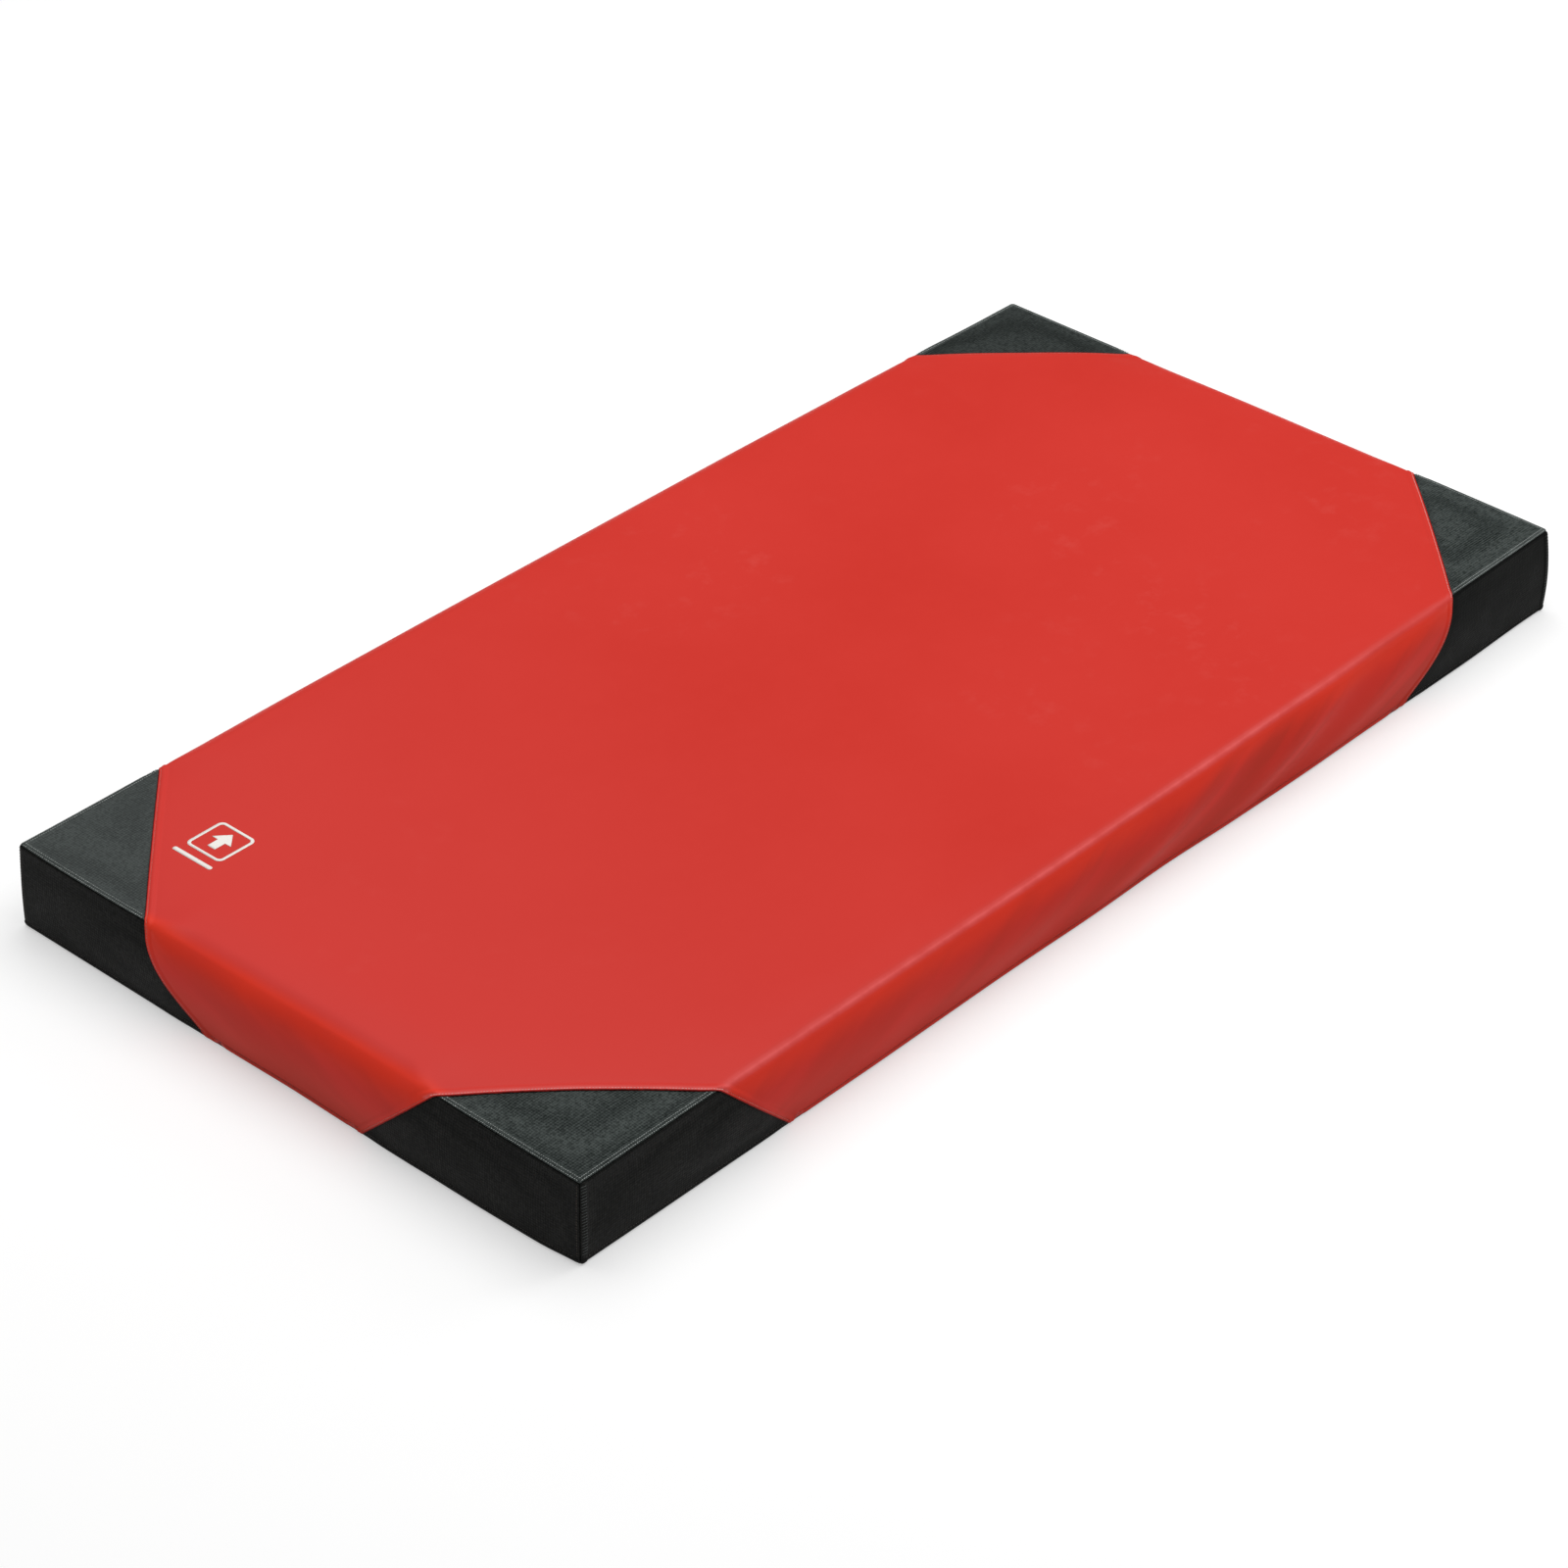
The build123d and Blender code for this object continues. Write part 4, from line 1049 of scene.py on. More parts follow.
def make_panel(place_name, which):
    sx, sy, flared = CORNERS[place_name]
    line = offset_line(SEAMS[place_name], LAP)
    on_x, on_y = crossing(line, 0), crossing(line, 1)   # at the X wall's ridge, at the Y wall's ridge
    fine = regular(HEM[-1], 0.43, 0.0042)
    if which == "top":
        mid = line[(line[:, 0] > 0.0005) & (line[:, 1] > 0.0005)]
        g = np.r_[HEM, fine]
        outline = np.concatenate([
            [(0.0, 0.0)], [(a, 0.0) for a in g[1:] if a < on_y[0] - 0.001], [on_y], mid[::-1], [on_x],
            [(0.0, a) for a in g[:0:-1] if a < on_x[1] - 0.001],
        ])
        ss, tt = np.meshgrid(g[1:], g[1:], indexing="ij")
    else:
        along = np.r_[HEM, fine]
        down = np.unique(np.r_[HEM, regular(HEM[-1], H - 0.018, 0.0045), H - np.array([0.0145, 0.012, 0.0105, 0.0097, 0.009, 0.0083, 0.0072, 0.0055, 0.004, 0.0028, 0.0018, 0.0009, 0.0])])
        if which == "short_side":
            part = line[(line[:, 0] < -0.0005) & (line[:, 0] > -H + 0.0005)]      # from the floor up
            foot = np.array([-H, np.interp(-H, line[:60, 0], line[:60, 1]) if line[0, 0] < line[59, 0] else line[0, 1]])
            outline = np.concatenate([
                [(0.0, 0.0)], [(0.0, a) for a in along[1:] if a < on_x[1] - 0.001], [on_x], part[::-1], [foot],
                [(-H, a) for a in along[:0:-1] if a < foot[1] - 0.001], [(-H, 0.0)], [(-a, 0.0) for a in down[-2:0:-1]],
            ])
            ss, tt = np.meshgrid(-down[1:-1], along[1:], indexing="ij")
        else:
            part = line[(line[:, 1] < -0.0005) & (line[:, 1] > -H + 0.0005)]      # from the ridge down
            foot = np.array([np.interp(H, -line[-60:, 1], line[-60:, 0]), -H])
            outline = np.concatenate([
                [(0.0, 0.0)], [(0.0, -a) for a in down[1:-1]], [(0.0, -H)], [(a, -H) for a in along[1:] if a < foot[0] - 0.001],
                [foot], part[::-1], [on_y], [(a, 0.0) for a in along[:0:-1] if a < on_y[0] - 0.001],
            ])
            ss, tt = np.meshgrid(along[1:], -down[1:-1], indexing="ij")
    pts = np.stack([ss.ravel(), tt.ravel()], 1)
    pts = pts[inside(outline, pts)]
    e = dist_to(SEAMS_FINE[place_name], pts)
    pts = pts[e < -0.0165]
    rows = []
    for d in (-0.0150, -0.0118, -0.0090, -0.0065, -0.0045, -0.0030, -0.0018, -0.0008, 0.0, 0.0012, 0.0030, 0.0052):
        r = offset_line(SEAMS[place_name], d)
        rows.append(r[inside(outline, r)])
    extra = np.concatenate([pts, *rows])
    # nothing closer to the straight edges than the first hem line
    if which == "top":
        extra = extra[(extra[:, 0] > 0.0004) & (extra[:, 1] > 0.0004)]
    elif which == "short_side":
        extra = extra[(extra[:, 0] < -0.0004) & (extra[:, 0] > -H + 0.0004) & (extra[:, 1] > 0.0004)]
    else:
        extra = extra[(extra[:, 1] < -0.0004) & (extra[:, 1] > -H + 0.0004) & (extra[:, 0] > 0.0004)]
    st, tris = triangulate(outline, [], extra)
    uv = corner_uv(st, sx, sy)
    if which == "top":
        sharp = np.stack([uv[:, 0], uv[:, 1], np.full(len(uv), H)], 1)
        r = np.minimum(st[:, 0], st[:, 1])
        lift = 0.0011 * (1 - smooth(0.0092, 0.0122, r)) - 0.0016 * (1 - smooth(0.0, 0.0013, r)) ** 1.5
        lift += bumpy(r, [(0.0031, 0.0008, -0.0005), (0.0074, 0.0008, -0.0005)])
    else:
        if which == "short_side":
            sharp = np.stack([np.full(len(st), sx * A), uv[:, 1], H + st[:, 0]], 1)
            q, w = -st[:, 0], st[:, 1]
            lift = -0.0014 * (1 - smooth(0.0, 0.0030, w))
            lift += bumpy(w, [(0.0052, 0.0010, -0.0004)])
        else:
            sharp = np.stack([uv[:, 0], np.full(len(st), sy * B), H + st[:, 1]], 1)
            q, w = -st[:, 1], st[:, 0]
            lift = 0.0009 * (1 - smooth(0.0095, 0.0120, w)) - 0.0016 * (1 - smooth(0.0, 0.0013, w)) ** 1.5
            lift += bumpy(w, [(0.0105, 0.0008, -0.0003)])
        sharp[:, 2] = np.clip(sharp[:, 2], 0, H - 1e-5)
        lift = lift - 0.0016 * (1 - smooth(0.0, 0.0028, q))
        lift += bottom_lift(sharp[:, 2])
    lift = lift + black_seam_lift(-dist_to(SEAMS_FINE[place_name], st))
    obj = thick_sheet(f"corner_{place_name}_{which}_panel", sharp, lift, tris, 0.0009, BLACK_TOP_SHEEN if which == "top" else BLACK)
    return obj


for _name in CORNERS:
    for _which in ("top", "long_side", "short_side"):
        o = make_panel(_name, _which)
        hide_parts(f"corner_{_name}_{_which}")
        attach(o, "mat")


# ------------------------------------------------------------------ foam block and base sheet
def make_foam():
    xs = graded(-A, A, [-A, A], 0.006, 0.05, 0.10)
    ys = graded(-B, B, [-B, B], 0.006, 0.05, 0.10)
    zs = np.linspace(0, H, 15)
    index, points, faces = {}, [], []

    def vid(i, j, k):
        if (i, j, k) not in index:
            index[(i, j, k)] = len(points)
            points.append((xs[i], ys[j], zs[k]))
        return index[(i, j, k)]

    nx, ny, nz = len(xs) - 1, len(ys) - 1, len(zs) - 1
    for i in range(nx):
        for j in range(ny):
            faces.append([vid(i, j, nz), vid(i + 1, j, nz), vid(i + 1, j + 1, nz), vid(i, j + 1, nz)])
            faces.append([vid(i, j, 0), vid(i, j + 1, 0), vid(i + 1, j + 1, 0), vid(i + 1, j, 0)])
    for i in range(nx):
        for k in range(nz):
            faces.append([vid(i, 0, k), vid(i + 1, 0, k), vid(i + 1, 0, k + 1), vid(i, 0, k + 1)])
            faces.append([vid(i, ny, k), vid(i, ny, k + 1), vid(i + 1, ny, k + 1), vid(i + 1, ny, k)])
    for j in range(ny):
        for k in range(nz):
            faces.append([vid(0, j, k), vid(0, j, k + 1), vid(0, j + 1, k + 1), vid(0, j + 1, k)])
            faces.append([vid(nx, j, k), vid(nx, j + 1, k), vid(nx, j + 1, k + 1), vid(nx, j, k + 1)])
    sharp = np.array(points)
    drop = np.full(len(sharp), -0.0062)
    behind = (sharp[:, 1] > B - 1e-6) & (np.abs(sharp[:, 0]) < 0.69) & (np.abs(sharp[:, 2] - ZIP_Z) < 0.024)
    drop[behind] = -0.010
    pos, n = envelope(sharp)
    co = pos + cloth_move(sharp) + macro_move(sharp) + n * drop[:, None]
    return mesh_object("foam_block", co, faces, FOAM)


foam = make_foam()
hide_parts("foam_core")
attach(foam, "mat")


def make_base():
    xs = graded(-A, A, [-A, A], 0.0025, 0.03, 0.04)
    ys = graded(-B, B, [-B, B], 0.0025, 0.03, 0.04)
    xx, yy = np.meshgrid(xs, ys, indexing="ij")
    sharp = np.stack([xx.ravel(), yy.ravel(), np.zeros(xx.size)], 1)
    pos, n = envelope(sharp)
    edge = np.minimum(A - np.abs(sharp[:, 0]), B - np.abs(sharp[:, 1]))
    lift = 0.0004 - 0.0012 * (1 - smooth(0.0, 0.002, edge))
    co = pos + macro_move(sharp) + n * lift[:, None]
    co[:, 2] = np.maximum(co[:, 2], 0.0)
    nx, ny = len(xs), len(ys)
    i = np.arange(nx * ny).reshape(nx, ny)
    a, b, c, d = i[:-1, :-1].ravel(), i[1:, :-1].ravel(), i[1:, 1:].ravel(), i[:-1, 1:].ravel()
    down = np.stack([a, d, c, b], 1)
    k = nx * ny
    inner = co - n * 0.0011
    rim = []
    loop = list(i[:, 0]) + list(i[-1, 1:]) + list(i[-2::-1, -1]) + list(i[0, -2:0:-1])
    for p, q in zip(loop, loop[1:] + loop[:1]):
        rim.append((p, q, q + k, p + k))
    faces = [tuple(f) for f in down] + [tuple(f + k) for f in down[:, ::-1]] + rim
    return mesh_object("base_sheet_underside", np.concatenate([co, inner]), faces, BASE_MAT)


base = make_base()
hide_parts("base_sheet")
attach(base, "mat")


# ------------------------------------------------------------------ stitches
def stitch_mesh(name, runs, material, sides=6, full=True):
    """One mesh of many stitches. runs: (centres, normals, tangents, half length, half width, height above the sheet)."""
    co, faces = [], []
    k = 0
    for c, n, t, hl, hw, up in runs:
        s = np.cross(n, t)
        if full:
            prof = [(-1.0, 0.35), (-0.68, 1.0), (0.68, 1.0), (1.0, 0.35)]
        else:
            prof = [(-1.0, 0.3), (0.0, 1.0), (1.0, 0.3)]
        m = len(c)
        block = np.zeros((m, len(prof), sides, 3))
        for a, (f, w) in enumerate(prof):
            dip = -0.55 * hw * (abs(f) ** 3)
            for b in range(sides):
                ang = 2 * math.pi * b / sides
                block[:, a, b] = c + t * (hl * f) + s * (hw * w * math.cos(ang)) + n * (up + dip + 0.72 * hw * w * math.sin(ang))
        co.append(block.reshape(-1, 3))
        per = len(prof) * sides
        start = k + np.arange(m) * per
        for a in range(len(prof) - 1):
            for b in range(sides):
                b2 = (b + 1) % sides
                faces.append(np.stack([start + a * sides + b, start + a * sides + b2, start + (a + 1) * sides + b2, start + (a + 1) * sides + b], 1))
        caps = [np.stack([start + b for b in range(sides)][::-1], 1), np.stack([start + (len(prof) - 1) * sides + b for b in range(sides)], 1)]
        faces.append(("caps", caps))
        k += m * per
    quads = [tuple(f) for blockf in faces if not isinstance(blockf, tuple) for f in blockf]
    caps = [tuple(f) for blockf in faces if isinstance(blockf, tuple) for g in blockf[1] for f in g]
    # stitches are wound so that t, s, n is left handed when sides run towards +s; turn them outward
    obj = mesh_object(name, np.concatenate(co), quads + caps, material)
    import bmesh
    bm = bmesh.new()
    bm.from_mesh(obj.data)
    bmesh.ops.recalc_face_normals(bm, faces=bm.faces)
    bm.to_mesh(obj.data)
    bm.free()
    return obj


def along_uv(line_uv, pitch, start=0.0, end=0.0):
    """Centres and ends of stitches along a line in the mat's unfolded plane."""
    d = np.r_[0, np.cumsum(np.linalg.norm(np.diff(line_uv, axis=0), axis=1))]
    n = max(2, int((d[-1] - start - end) / pitch))
    at = start + (np.arange(n) + 0.5) * (d[-1] - start - end) / n
    at = at + RNG.normal(0, pitch * 0.03, n)
    h = pitch * 0.36

    def get(x):
        return np.stack([np.interp(x, d, line_uv[:, 0]), np.interp(x, d, line_uv[:, 1])], 1)

    return get(at), get(at - h), get(at + h)


def run_on_cover(line_uv, pitch, lift, hw=0.00042, up=0.00018, start=0.0, end=0.0, share=0.37):
    c, a, b = along_uv(line_uv, pitch, start, end)
    pc, pa, pb = fold(*c.T), fold(*a.T), fold(*b.T)
    lc = np.full(len(c), lift) if np.isscalar(lift) else lift(pc, c)
    pos = place(pc, lc)
    t = place(pb) - place(pa)
    ln = np.linalg.norm(t, axis=1)
    ok = ln > pitch * 0.2
    t = t / np.maximum(ln, 1e-9)[:, None]
    _, n = envelope(pc)
    n = n - (n * t).sum(1, keepdims=True) * t
    n /= np.linalg.norm(n, axis=1, keepdims=True)
    return (pos[ok], n[ok], t[ok], pitch * share, hw, up)


# main seams: one row inside the red sheet's turned edge; painted pale on the near corners' tops as a painted highlight,
# duller down the walls and on the far corners
top_runs, wall_runs = [], []
_row = float(red_seam_lift(np.array([0.0034]))[0])
for _name, (sx, sy, flared) in CORNERS.items():
    line = offset_line(SEAMS_FINE[_name], 0.0034)
    line = line[(line[:, 0] > -H + 0.010) & (line[:, 1] > -H + 0.010)]
    level = (line[:, 0] > -0.004) & (line[:, 1] > -0.004)
    i, j = np.nonzero(level)[0][[0, -1]]
    near_side = _name in ("front_left", "front_right")
    (top_runs if near_side else wall_runs).append(run_on_cover(corner_uv(line[i : j + 1], sx, sy), 0.0038, _row))
    wall_runs.append(run_on_cover(corner_uv(line[:i], sx, sy), 0.0038, _row))
    wall_runs.append(run_on_cover(corner_uv(line[j + 1 :], sx, sy), 0.0038, _row))
main_thread = stitch_mesh("thread_main_seam_stitches", wall_runs, THREAD_DULL)
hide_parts("thread_main_seams")
for o in (main_thread, stitch_mesh("thread_main_seam_top_stitches", top_runs, THREAD_PALE_HIGHLIGHT)):
    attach(o, "mat")


# black corners: two rows beside each ridge on the top panel, rungs and a row at each upright seam
def st_line(p, q, n=60):
    t = np.linspace(0, 1, n)[:, None]
    return np.array(p) * (1 - t) + np.array(q) * t


runs, rows, rungs = [], [], []
for _name, (sx, sy, flared) in CORNERS.items():
    for r in (0.0031, 0.0074):
        stop = LEG - r - 0.004
        row_lift = 0.0011 - 0.0005
        runs.append(run_on_cover(corner_uv(st_line((0.006, r), (stop, r)), sx, sy), 0.0036, row_lift, hw=0.00042))
        runs.append(run_on_cover(corner_uv(st_line((r, 0.006), (r, stop)), sx, sy), 0.0036, row_lift, hw=0.00042))
    # a row on the short side's panel, next to the upright edge
    rows.append(run_on_cover(corner_uv(st_line((-0.006, 0.0052), (-H + 0.012, 0.0052)), sx, sy), 0.0040, -0.0003, hw=0.00048))
    # rungs on the long side's panel
    q = np.arange(0.007, H - 0.013, 0.0046)
    c = corner_uv(np.stack([np.full(len(q), 0.0056), -q], 1), sx, sy)
    pc = fold(*c.T)
    pos = place(pc, np.full(len(q), 0.0009))
    a = place(fold(*corner_uv(np.stack([np.full(len(q), 0.0012), -q], 1), sx, sy).T), np.full(len(q), 0.0009))
    b = place(fold(*corner_uv(np.stack([np.full(len(q), 0.0100), -q], 1), sx, sy).T), np.full(len(q), 0.0009))
    t = (b - a) / np.linalg.norm(b - a, axis=1, keepdims=True)
    _, n = envelope(pc)
    n = n - (n * t).sum(1, keepdims=True) * t
    n /= np.linalg.norm(n, axis=1, keepdims=True)
    rungs.append((pos, n, t, 0.0042, 0.00050, 0.00005))
corner_thread = stitch_mesh("thread_corner_stitches", runs, THREAD_GREY)
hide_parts("thread_corner_seams")
for o in (corner_thread, stitch_mesh("thread_upright_row_stitches", rows, THREAD_BROWN), stitch_mesh("thread_upright_rung_stitches", rungs, THREAD_DARK)):
    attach(o, "mat")


# base seam: one row right round, just above the floor
def wall_loop(z, step=0.02):
    """Points round the sharp box at height z."""
    xs = np.linspace(-A, A, int(2 * A / step) + 1)
    ys = np.linspace(-B, B, int(2 * B / step) + 1)
    return [
        np.stack([xs, np.full(len(xs), -B), np.full(len(xs), z)], 1),
        np.stack([np.full(len(ys), A), ys, np.full(len(ys), z)], 1),
        np.stack([xs[::-1], np.full(len(xs), B), np.full(len(xs), z)], 1),
        np.stack([np.full(len(ys), -A), ys[::-1], np.full(len(ys), z)], 1),
    ]


runs = []
for side in wall_loop(0.0090):
    L = np.linalg.norm(side[-1] - side[0])
    d = (side[-1] - side[0]) / L
    n_st = int((L - 0.016) / 0.0042)
    at = 0.008 + (np.arange(n_st) + 0.5) * (L - 0.016) / n_st
    pc = side[0] + d * at[:, None]
    pos = place(pc, np.full(n_st, 0.0))
    t = place(pc + d * 0.001) - place(pc - d * 0.001)
    t /= np.linalg.norm(t, axis=1, keepdims=True)
    _, n = envelope(pc)
    n = n - (n * t).sum(1, keepdims=True) * t
    n /= np.linalg.norm(n, axis=1, keepdims=True)
    runs.append((pos, n, t, 0.0015, 0.00040, 0.00012))
base_thread = stitch_mesh("thread_base_stitches", runs, THREAD_BASE, sides=5, full=False)
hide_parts("thread_base_seam")
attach(base_thread, "mat")


# ------------------------------------------------------------------ zip
def strip(name, x0, x1, z0, z1, y0, y1, material, ripple=0.0, step=0.004):
    """A thin cloth strip on the rear wall, with a rounded edge and a little ripple."""
    n = int((x1 - x0) / step)
    xs = np.linspace(x0, x1, n + 1)
    edge = (y1 - y0) * 0.45
    prof = [(z0, y0 + edge), (z0 + edge, y0), (z1 - edge, y0), (z1, y0 + edge), (z1, y1 - edge), (z1 - edge, y1), ((z0 + z1) / 2, y1), (z0 + edge, y1), (z0, y1 - edge)]
    co, faces = [], []
    for x in xs:
        w = ripple * math.sin(x * 160.0) * math.sin(x * 37.0 + 1.0)
        for z, y in prof:
            co.append((x, y + w, z))
    m = len(prof)
    for i in range(n):
        for j in range(m):
            k = (j + 1) % m
            faces.append((i * m + j, i * m + k, (i + 1) * m + k, (i + 1) * m + j))
    faces.append(tuple(range(m))[::-1])
    faces.append(tuple(n * m + j for j in range(m)))
    obj = mesh_object(name, np.array(co), faces, material)
    import bmesh
    bm = bmesh.new()
    bm.from_mesh(obj.data)
    bmesh.ops.recalc_face_normals(bm, faces=bm.faces)
    bm.to_mesh(obj.data)
    bm.free()
    return obj


for _side in ("upper", "lower"):
    lo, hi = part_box(f"zip_tape_{_side}")
    tape = strip(f"zip_tape_{_side}_cloth", lo.x, hi.x, lo.z, hi.z, lo.y + 0.00005, hi.y - 0.00005, TAPE, ripple=0.00004)
    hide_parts(f"zip_tape_{_side}")
    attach(tape, "mat")

PITCH = 0.0020
for _side, _sign in (("upper", 1), ("lower", -1)):
    lo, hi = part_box(f"zip_coil_{_side}")
    count = int((hi.x - lo.x - 0.004) / PITCH)
    x = lo.x + 0.002 + np.arange(count) * PITCH + (PITCH / 2 if _sign < 0 else 0)
    n = np.tile([0.0, 1.0, 0.0], (count, 1))
    # each turn of the coil crosses from its tape to just past the middle
    tip = ZIP_Z + _sign * 0.00025
    root = ZIP_Z + _sign * 0.0041
    lean = 0.0005
    t = np.array([lean, 0.0, _sign * (tip - root) * _sign])
    t = np.array([lean, 0.0, tip - root])
    length = np.linalg.norm(t)
    t = np.tile(t / length, (count, 1))
    c = np.stack([x, np.full(count, lo.y + 0.0013), np.full(count, (tip + root) / 2)], 1)
    coil = stitch_mesh(f"zip_coil_{_side}_turns", [(c, n, t, length / 2, 0.00082, 0.0)], COIL, sides=6, full=True)
    cord_c = np.array([[lo.x, lo.y + 0.0010, root + _sign * 0.0001], [hi.x, lo.y + 0.0010, root + _sign * 0.0001]])
    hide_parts(f"zip_coil_{_side}")
    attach(coil, "mat")

# stitches beside the slot, one row above it and one below, that hold the zip's tape
runs = []
for v_off in (SLOT_H / 2 + 0.0036, -SLOT_H / 2 - 0.0036):
    n_st = int(1.300 / 0.0040)
    x = -0.650 + (np.arange(n_st) + 0.5) * 1.300 / n_st
    c = np.stack([x, np.full(n_st, B), np.full(n_st, ZIP_Z + v_off)], 1)
    pos = place(c, np.full(n_st, 0.0003))
    runs.append((pos, np.tile([0.0, 1.0, 0.0], (n_st, 1)), np.tile([1.0, 0, 0], (n_st, 1)), 0.0015, 0.00042, 0.00022))
zip_thread = stitch_mesh("thread_zip_stitches", runs, THREAD_RED, sides=5, full=False)
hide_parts("thread_zip_seams")
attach(zip_thread, "mat")


def rounded_patch(name, node):
    """A sewn reinforcing patch: soft edges, a little pillow between its stitches."""
    lo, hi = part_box(node)
    cx, cz, hx, hz = (lo.x + hi.x) / 2, (lo.z + hi.z) / 2, (hi.x - lo.x) / 2, (hi.z - lo.z) / 2
    n = 18
    r = 0.003
    co, faces = [], []
    us = np.linspace(-1, 1, n + 1)
    for u in us:
        for v in us:
            x, z = u * hx, v * hz
            ax, az = abs(x) - (hx - r), abs(z) - (hz - r)
            if ax > 0 and az > 0:
                k = r / max(math.hypot(ax, az), r)
                x, z = math.copysign(hx - r + ax * k, x), math.copysign(hz - r + az * k, z)
            d = min(hx - abs(x), hz - abs(z))
            y = hi.y - 0.0006 * (1 - float(smooth(0, 0.0012, d))) - 0.0003 * math.exp(-(((d - 0.0026) / 0.0008) ** 2)) + 0.0002 * float(smooth(0.003, 0.008, d))
            co.append((cx + x, y, cz + z))
    m = (n + 1) ** 2
    for p in list(co):
        co.append((p[0], lo.y, p[2]))
    ix = np.arange(m).reshape(n + 1, n + 1)
    for i in range(n):
        for j in range(n):
            a, b, c, d = ix[i, j], ix[i + 1, j], ix[i + 1, j + 1], ix[i, j + 1]
            faces.append((a, d, c, b))
            faces.append((a + m, b + m, c + m, d + m))
    loop = list(ix[:, 0]) + list(ix[-1, 1:]) + list(ix[-2::-1, -1]) + list(ix[0, -2:0:-1])
    for p, q in zip(loop, loop[1:] + loop[:1]):
        faces.append((p, q, q + m, p + m))
    obj = mesh_object(name, np.array(co), faces, BLACK)
    runs = []
    path = [(-hx + 0.0026, -hz + 0.0026), (hx - 0.0026, -hz + 0.0026), (hx - 0.0026, hz - 0.0026), (-hx + 0.0026, hz - 0.0026), (-hx + 0.0026, -hz + 0.0026), (hx - 0.0026, hz - 0.0026)]
    extra = [(hx - 0.0026, -hz + 0.0026), (-hx + 0.0026, hz - 0.0026)]
    for seg in list(zip(path, path[1:])) + [tuple(extra)]:
        p, q = np.array(seg[0]), np.array(seg[1])
        L = np.linalg.norm(q - p)
        k = max(2, int(L / 0.0030))
        at = (np.arange(k) + 0.5) / k
        xz = p + (q - p) * at[:, None]
        c = np.stack([cx + xz[:, 0], np.full(k, hi.y), cz + xz[:, 1]], 1)
        t = np.tile([(q - p)[0] / L, 0.0, (q - p)[1] / L], (k, 1))
        runs.append((c, np.tile([0.0, 1.0, 0.0], (k, 1)), t, 0.0011, 0.00038, 0.0001))
    st = stitch_mesh(name + "_stitches", runs, THREAD_GREY, sides=5, full=False)
    import bmesh
    bm = bmesh.new()
    bm.from_mesh(obj.data)
    bmesh.ops.recalc_face_normals(bm, faces=bm.faces)
    bm.to_mesh(obj.data)
    bm.free()
    return obj, st


for _side in ("left", "right"):
    patch, st = rounded_patch(f"zip_end_patch_{_side}_cloth", f"zip_end_patch_{_side}")
    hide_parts(f"zip_end_patch_{_side}")
    for o, s in ((patch, "black_vinyl"), (st, "thread")):
        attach(o, "mat")

for _node in ("zip_slider", "zip_pull_tab", "zip_top_stops", "zip_bottom_stop"):
    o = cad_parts[_node]
    o.data.materials.clear()
    o.data.materials.append(METAL)


# ------------------------------------------------------------------ printed mark: a plain sign for "this side up"
def print_shape(name, outline, holes, centre, lift=0.0003):
    """A thin print on the landing face. The outline is in metres: right, up on the sign. The sign's up is +X, its right is -Y."""
    out = np.array(outline)
    lo, hi = out.min(0), out.max(0)
    g = np.stack(np.meshgrid(np.arange(lo[0], hi[0], 0.004), np.arange(lo[1], hi[1], 0.004), indexing="ij"), -1).reshape(-1, 2)
    g = g[inside(out, g)]
    for h in holes:
        g = g[~inside(np.array(h), g)]
    xy, tris = triangulate(out, [], g, holes=[np.array(h) for h in holes])
    x, y = centre[0] + xy[:, 1], centre[1] - xy[:, 0]
    sharp = np.stack([x, y, np.full(len(x), H)], 1)
    return thick_sheet(name, sharp, np.full(len(x), lift), tris, 0.00025, WHITE)


def round_rect(hx, hy, r, n=7):
    pts = []
    for cx, cy, a0 in ((hx - r, hy - r, 0), (-hx + r, hy - r, 90), (-hx + r, -hy + r, 180), (hx - r, -hy + r, 270)):
        pts += [(cx + r * math.cos(math.radians(a0 + 90 * k / n)), cy + r * math.sin(math.radians(a0 + 90 * k / n))) for k in range(n + 1)]
    return pts


MARK = (-0.822, 0.312)
frame_out, frame_in = round_rect(0.033, 0.033, 0.009), round_rect(0.0285, 0.0285, 0.0055)
marks = [
    print_shape("print_sign_frame", frame_out, [frame_in], MARK),
    print_shape("print_sign_arrow", [(0.0, 0.021), (-0.018, 0.001), (-0.007, 0.001), (-0.007, -0.017), (0.007, -0.017), (0.007, 0.001), (0.018, 0.001)][::-1], [], MARK),
    print_shape("print_sign_bar", round_rect(0.036, 0.0035, 0.0034), [], (MARK[0] - 0.049, MARK[1])),
]
for o in marks:
    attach(o, "mat")


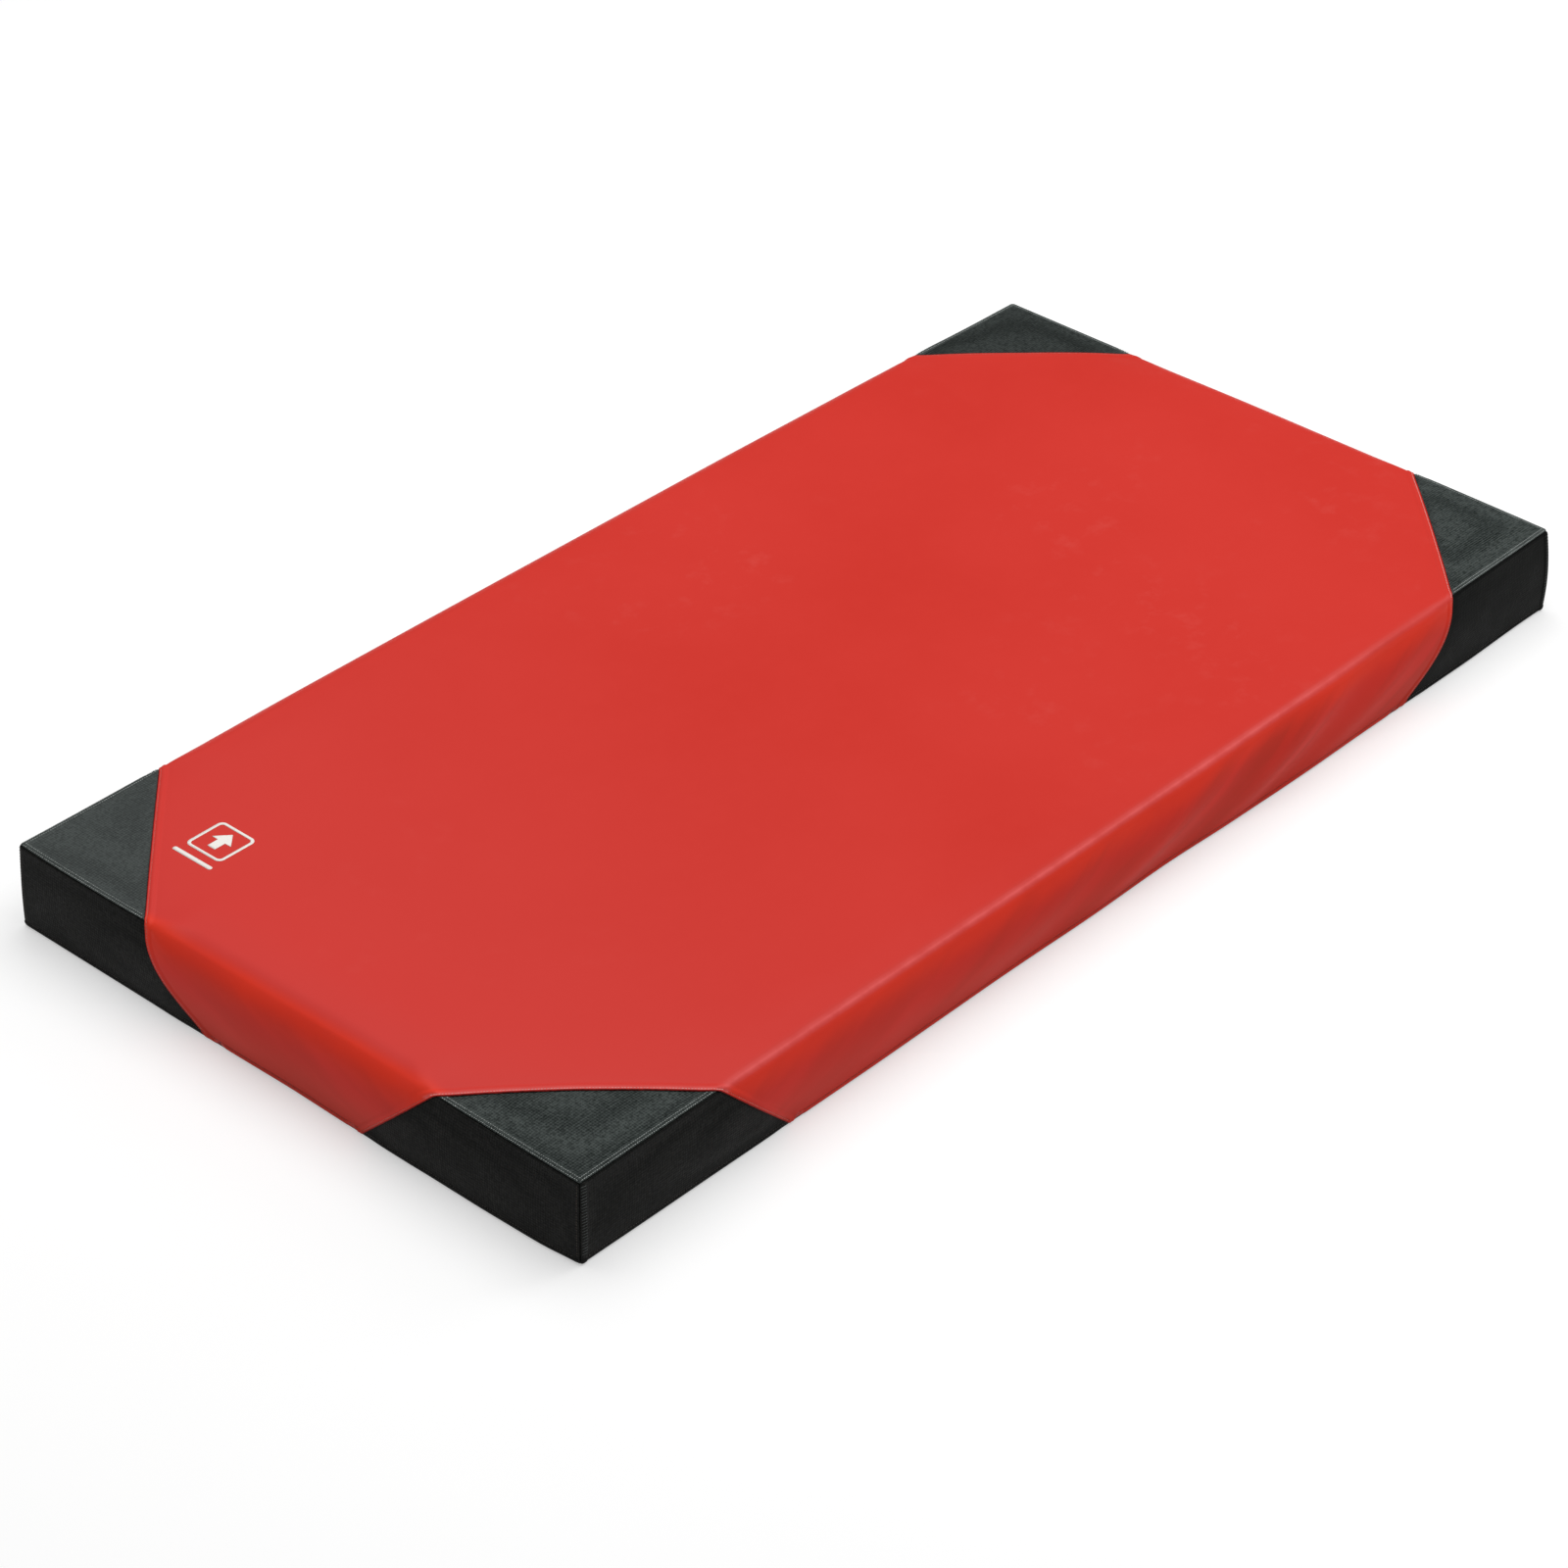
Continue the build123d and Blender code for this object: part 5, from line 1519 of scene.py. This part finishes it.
# ------------------------------------------------------------------ floor, light, camera
def make_stage():
    m, nt, bsdf = new_material("floor")
    g = Nodes(nt)
    n = g.noise(1.4, 3.0)
    g.link(g.ramp(n, [(0.3, (0.56, 0.56, 0.56)), (0.7, (0.572, 0.572, 0.571))]), bsdf.inputs["Base Color"])
    bsdf.inputs["Roughness"].default_value = 0.9
    bsdf.inputs["Specular IOR Level"].default_value = 0.1
    bsdf.inputs["Emission Color"].default_value = (1.0, 1.0, 1.0, 1)
    bsdf.inputs["Emission Strength"].default_value = 0.46
    s = 30.0
    floor = mesh_object("floor", np.array([(-s, -s, -0.0004), (s, -s, -0.0004), (s, s, -0.0004), (-s, s, -0.0004)]), [(0, 1, 2, 3)], m, False)


make_stage()


def area(name, pos, aim, size, energy, color=(1, 1, 1)):
    light = bpy.data.lights.new(name, "AREA")
    light.shape = "RECTANGLE"
    light.size, light.size_y = size
    light.energy = energy
    light.color = color
    o = bpy.data.objects.new(name, light)
    bpy.context.scene.collection.objects.link(o)
    o.location = pos
    o.rotation_mode = "QUATERNION"
    o.rotation_quaternion = (Vector(aim) - Vector(pos)).to_track_quat("-Z", "Y")
    return o


world = bpy.data.worlds.new("studio")
bpy.context.scene.world = world
world.use_nodes = True
wb = next(n for n in world.node_tree.nodes if n.type == "BACKGROUND")
wb.inputs["Color"].default_value = (1.0, 1.0, 1.0, 1)
wb.inputs["Strength"].default_value = 0.21
area("key", (0.8, 0.3, 5.2), (0.2, 0.1, 0), (7.5, 6.0), 350)
area("ridge", (4.6, -1.9, 3.3), (0, 0, 0.1), (2.2, 2.2), 42)

AZ, EL, ROLL = math.radians(-48.611), math.radians(34.323), math.radians(0.9485)
back = Vector((math.sin(AZ) * math.cos(EL), -math.cos(AZ) * math.cos(EL), math.sin(EL)))
right = Vector((math.cos(AZ), math.sin(AZ), 0.0))
upv = back.cross(right)
r2 = right * math.cos(ROLL) + upv * math.sin(ROLL)
u2 = -right * math.sin(ROLL) + upv * math.cos(ROLL)
cam_data = bpy.data.cameras.new("camera")
cam = bpy.data.objects.new("camera", cam_data)
bpy.context.scene.collection.objects.link(cam)
cam_data.lens, cam_data.sensor_width, cam_data.sensor_fit = 107.45, 36.0, "HORIZONTAL"
cam_data.clip_start, cam_data.clip_end = 0.1, 100.0
cam.matrix_world = Matrix((
    (r2.x, u2.x, back.x, -4.03557),
    (r2.y, u2.y, back.y, -3.48296),
    (r2.z, u2.z, back.z, 3.59735),
    (0, 0, 0, 1),
))
bpy.context.scene.camera = cam
bpy.context.scene.view_settings.view_transform = "Standard"
bpy.context.scene.view_settings.look = "None"
bpy.context.scene.view_settings.exposure = 0.0
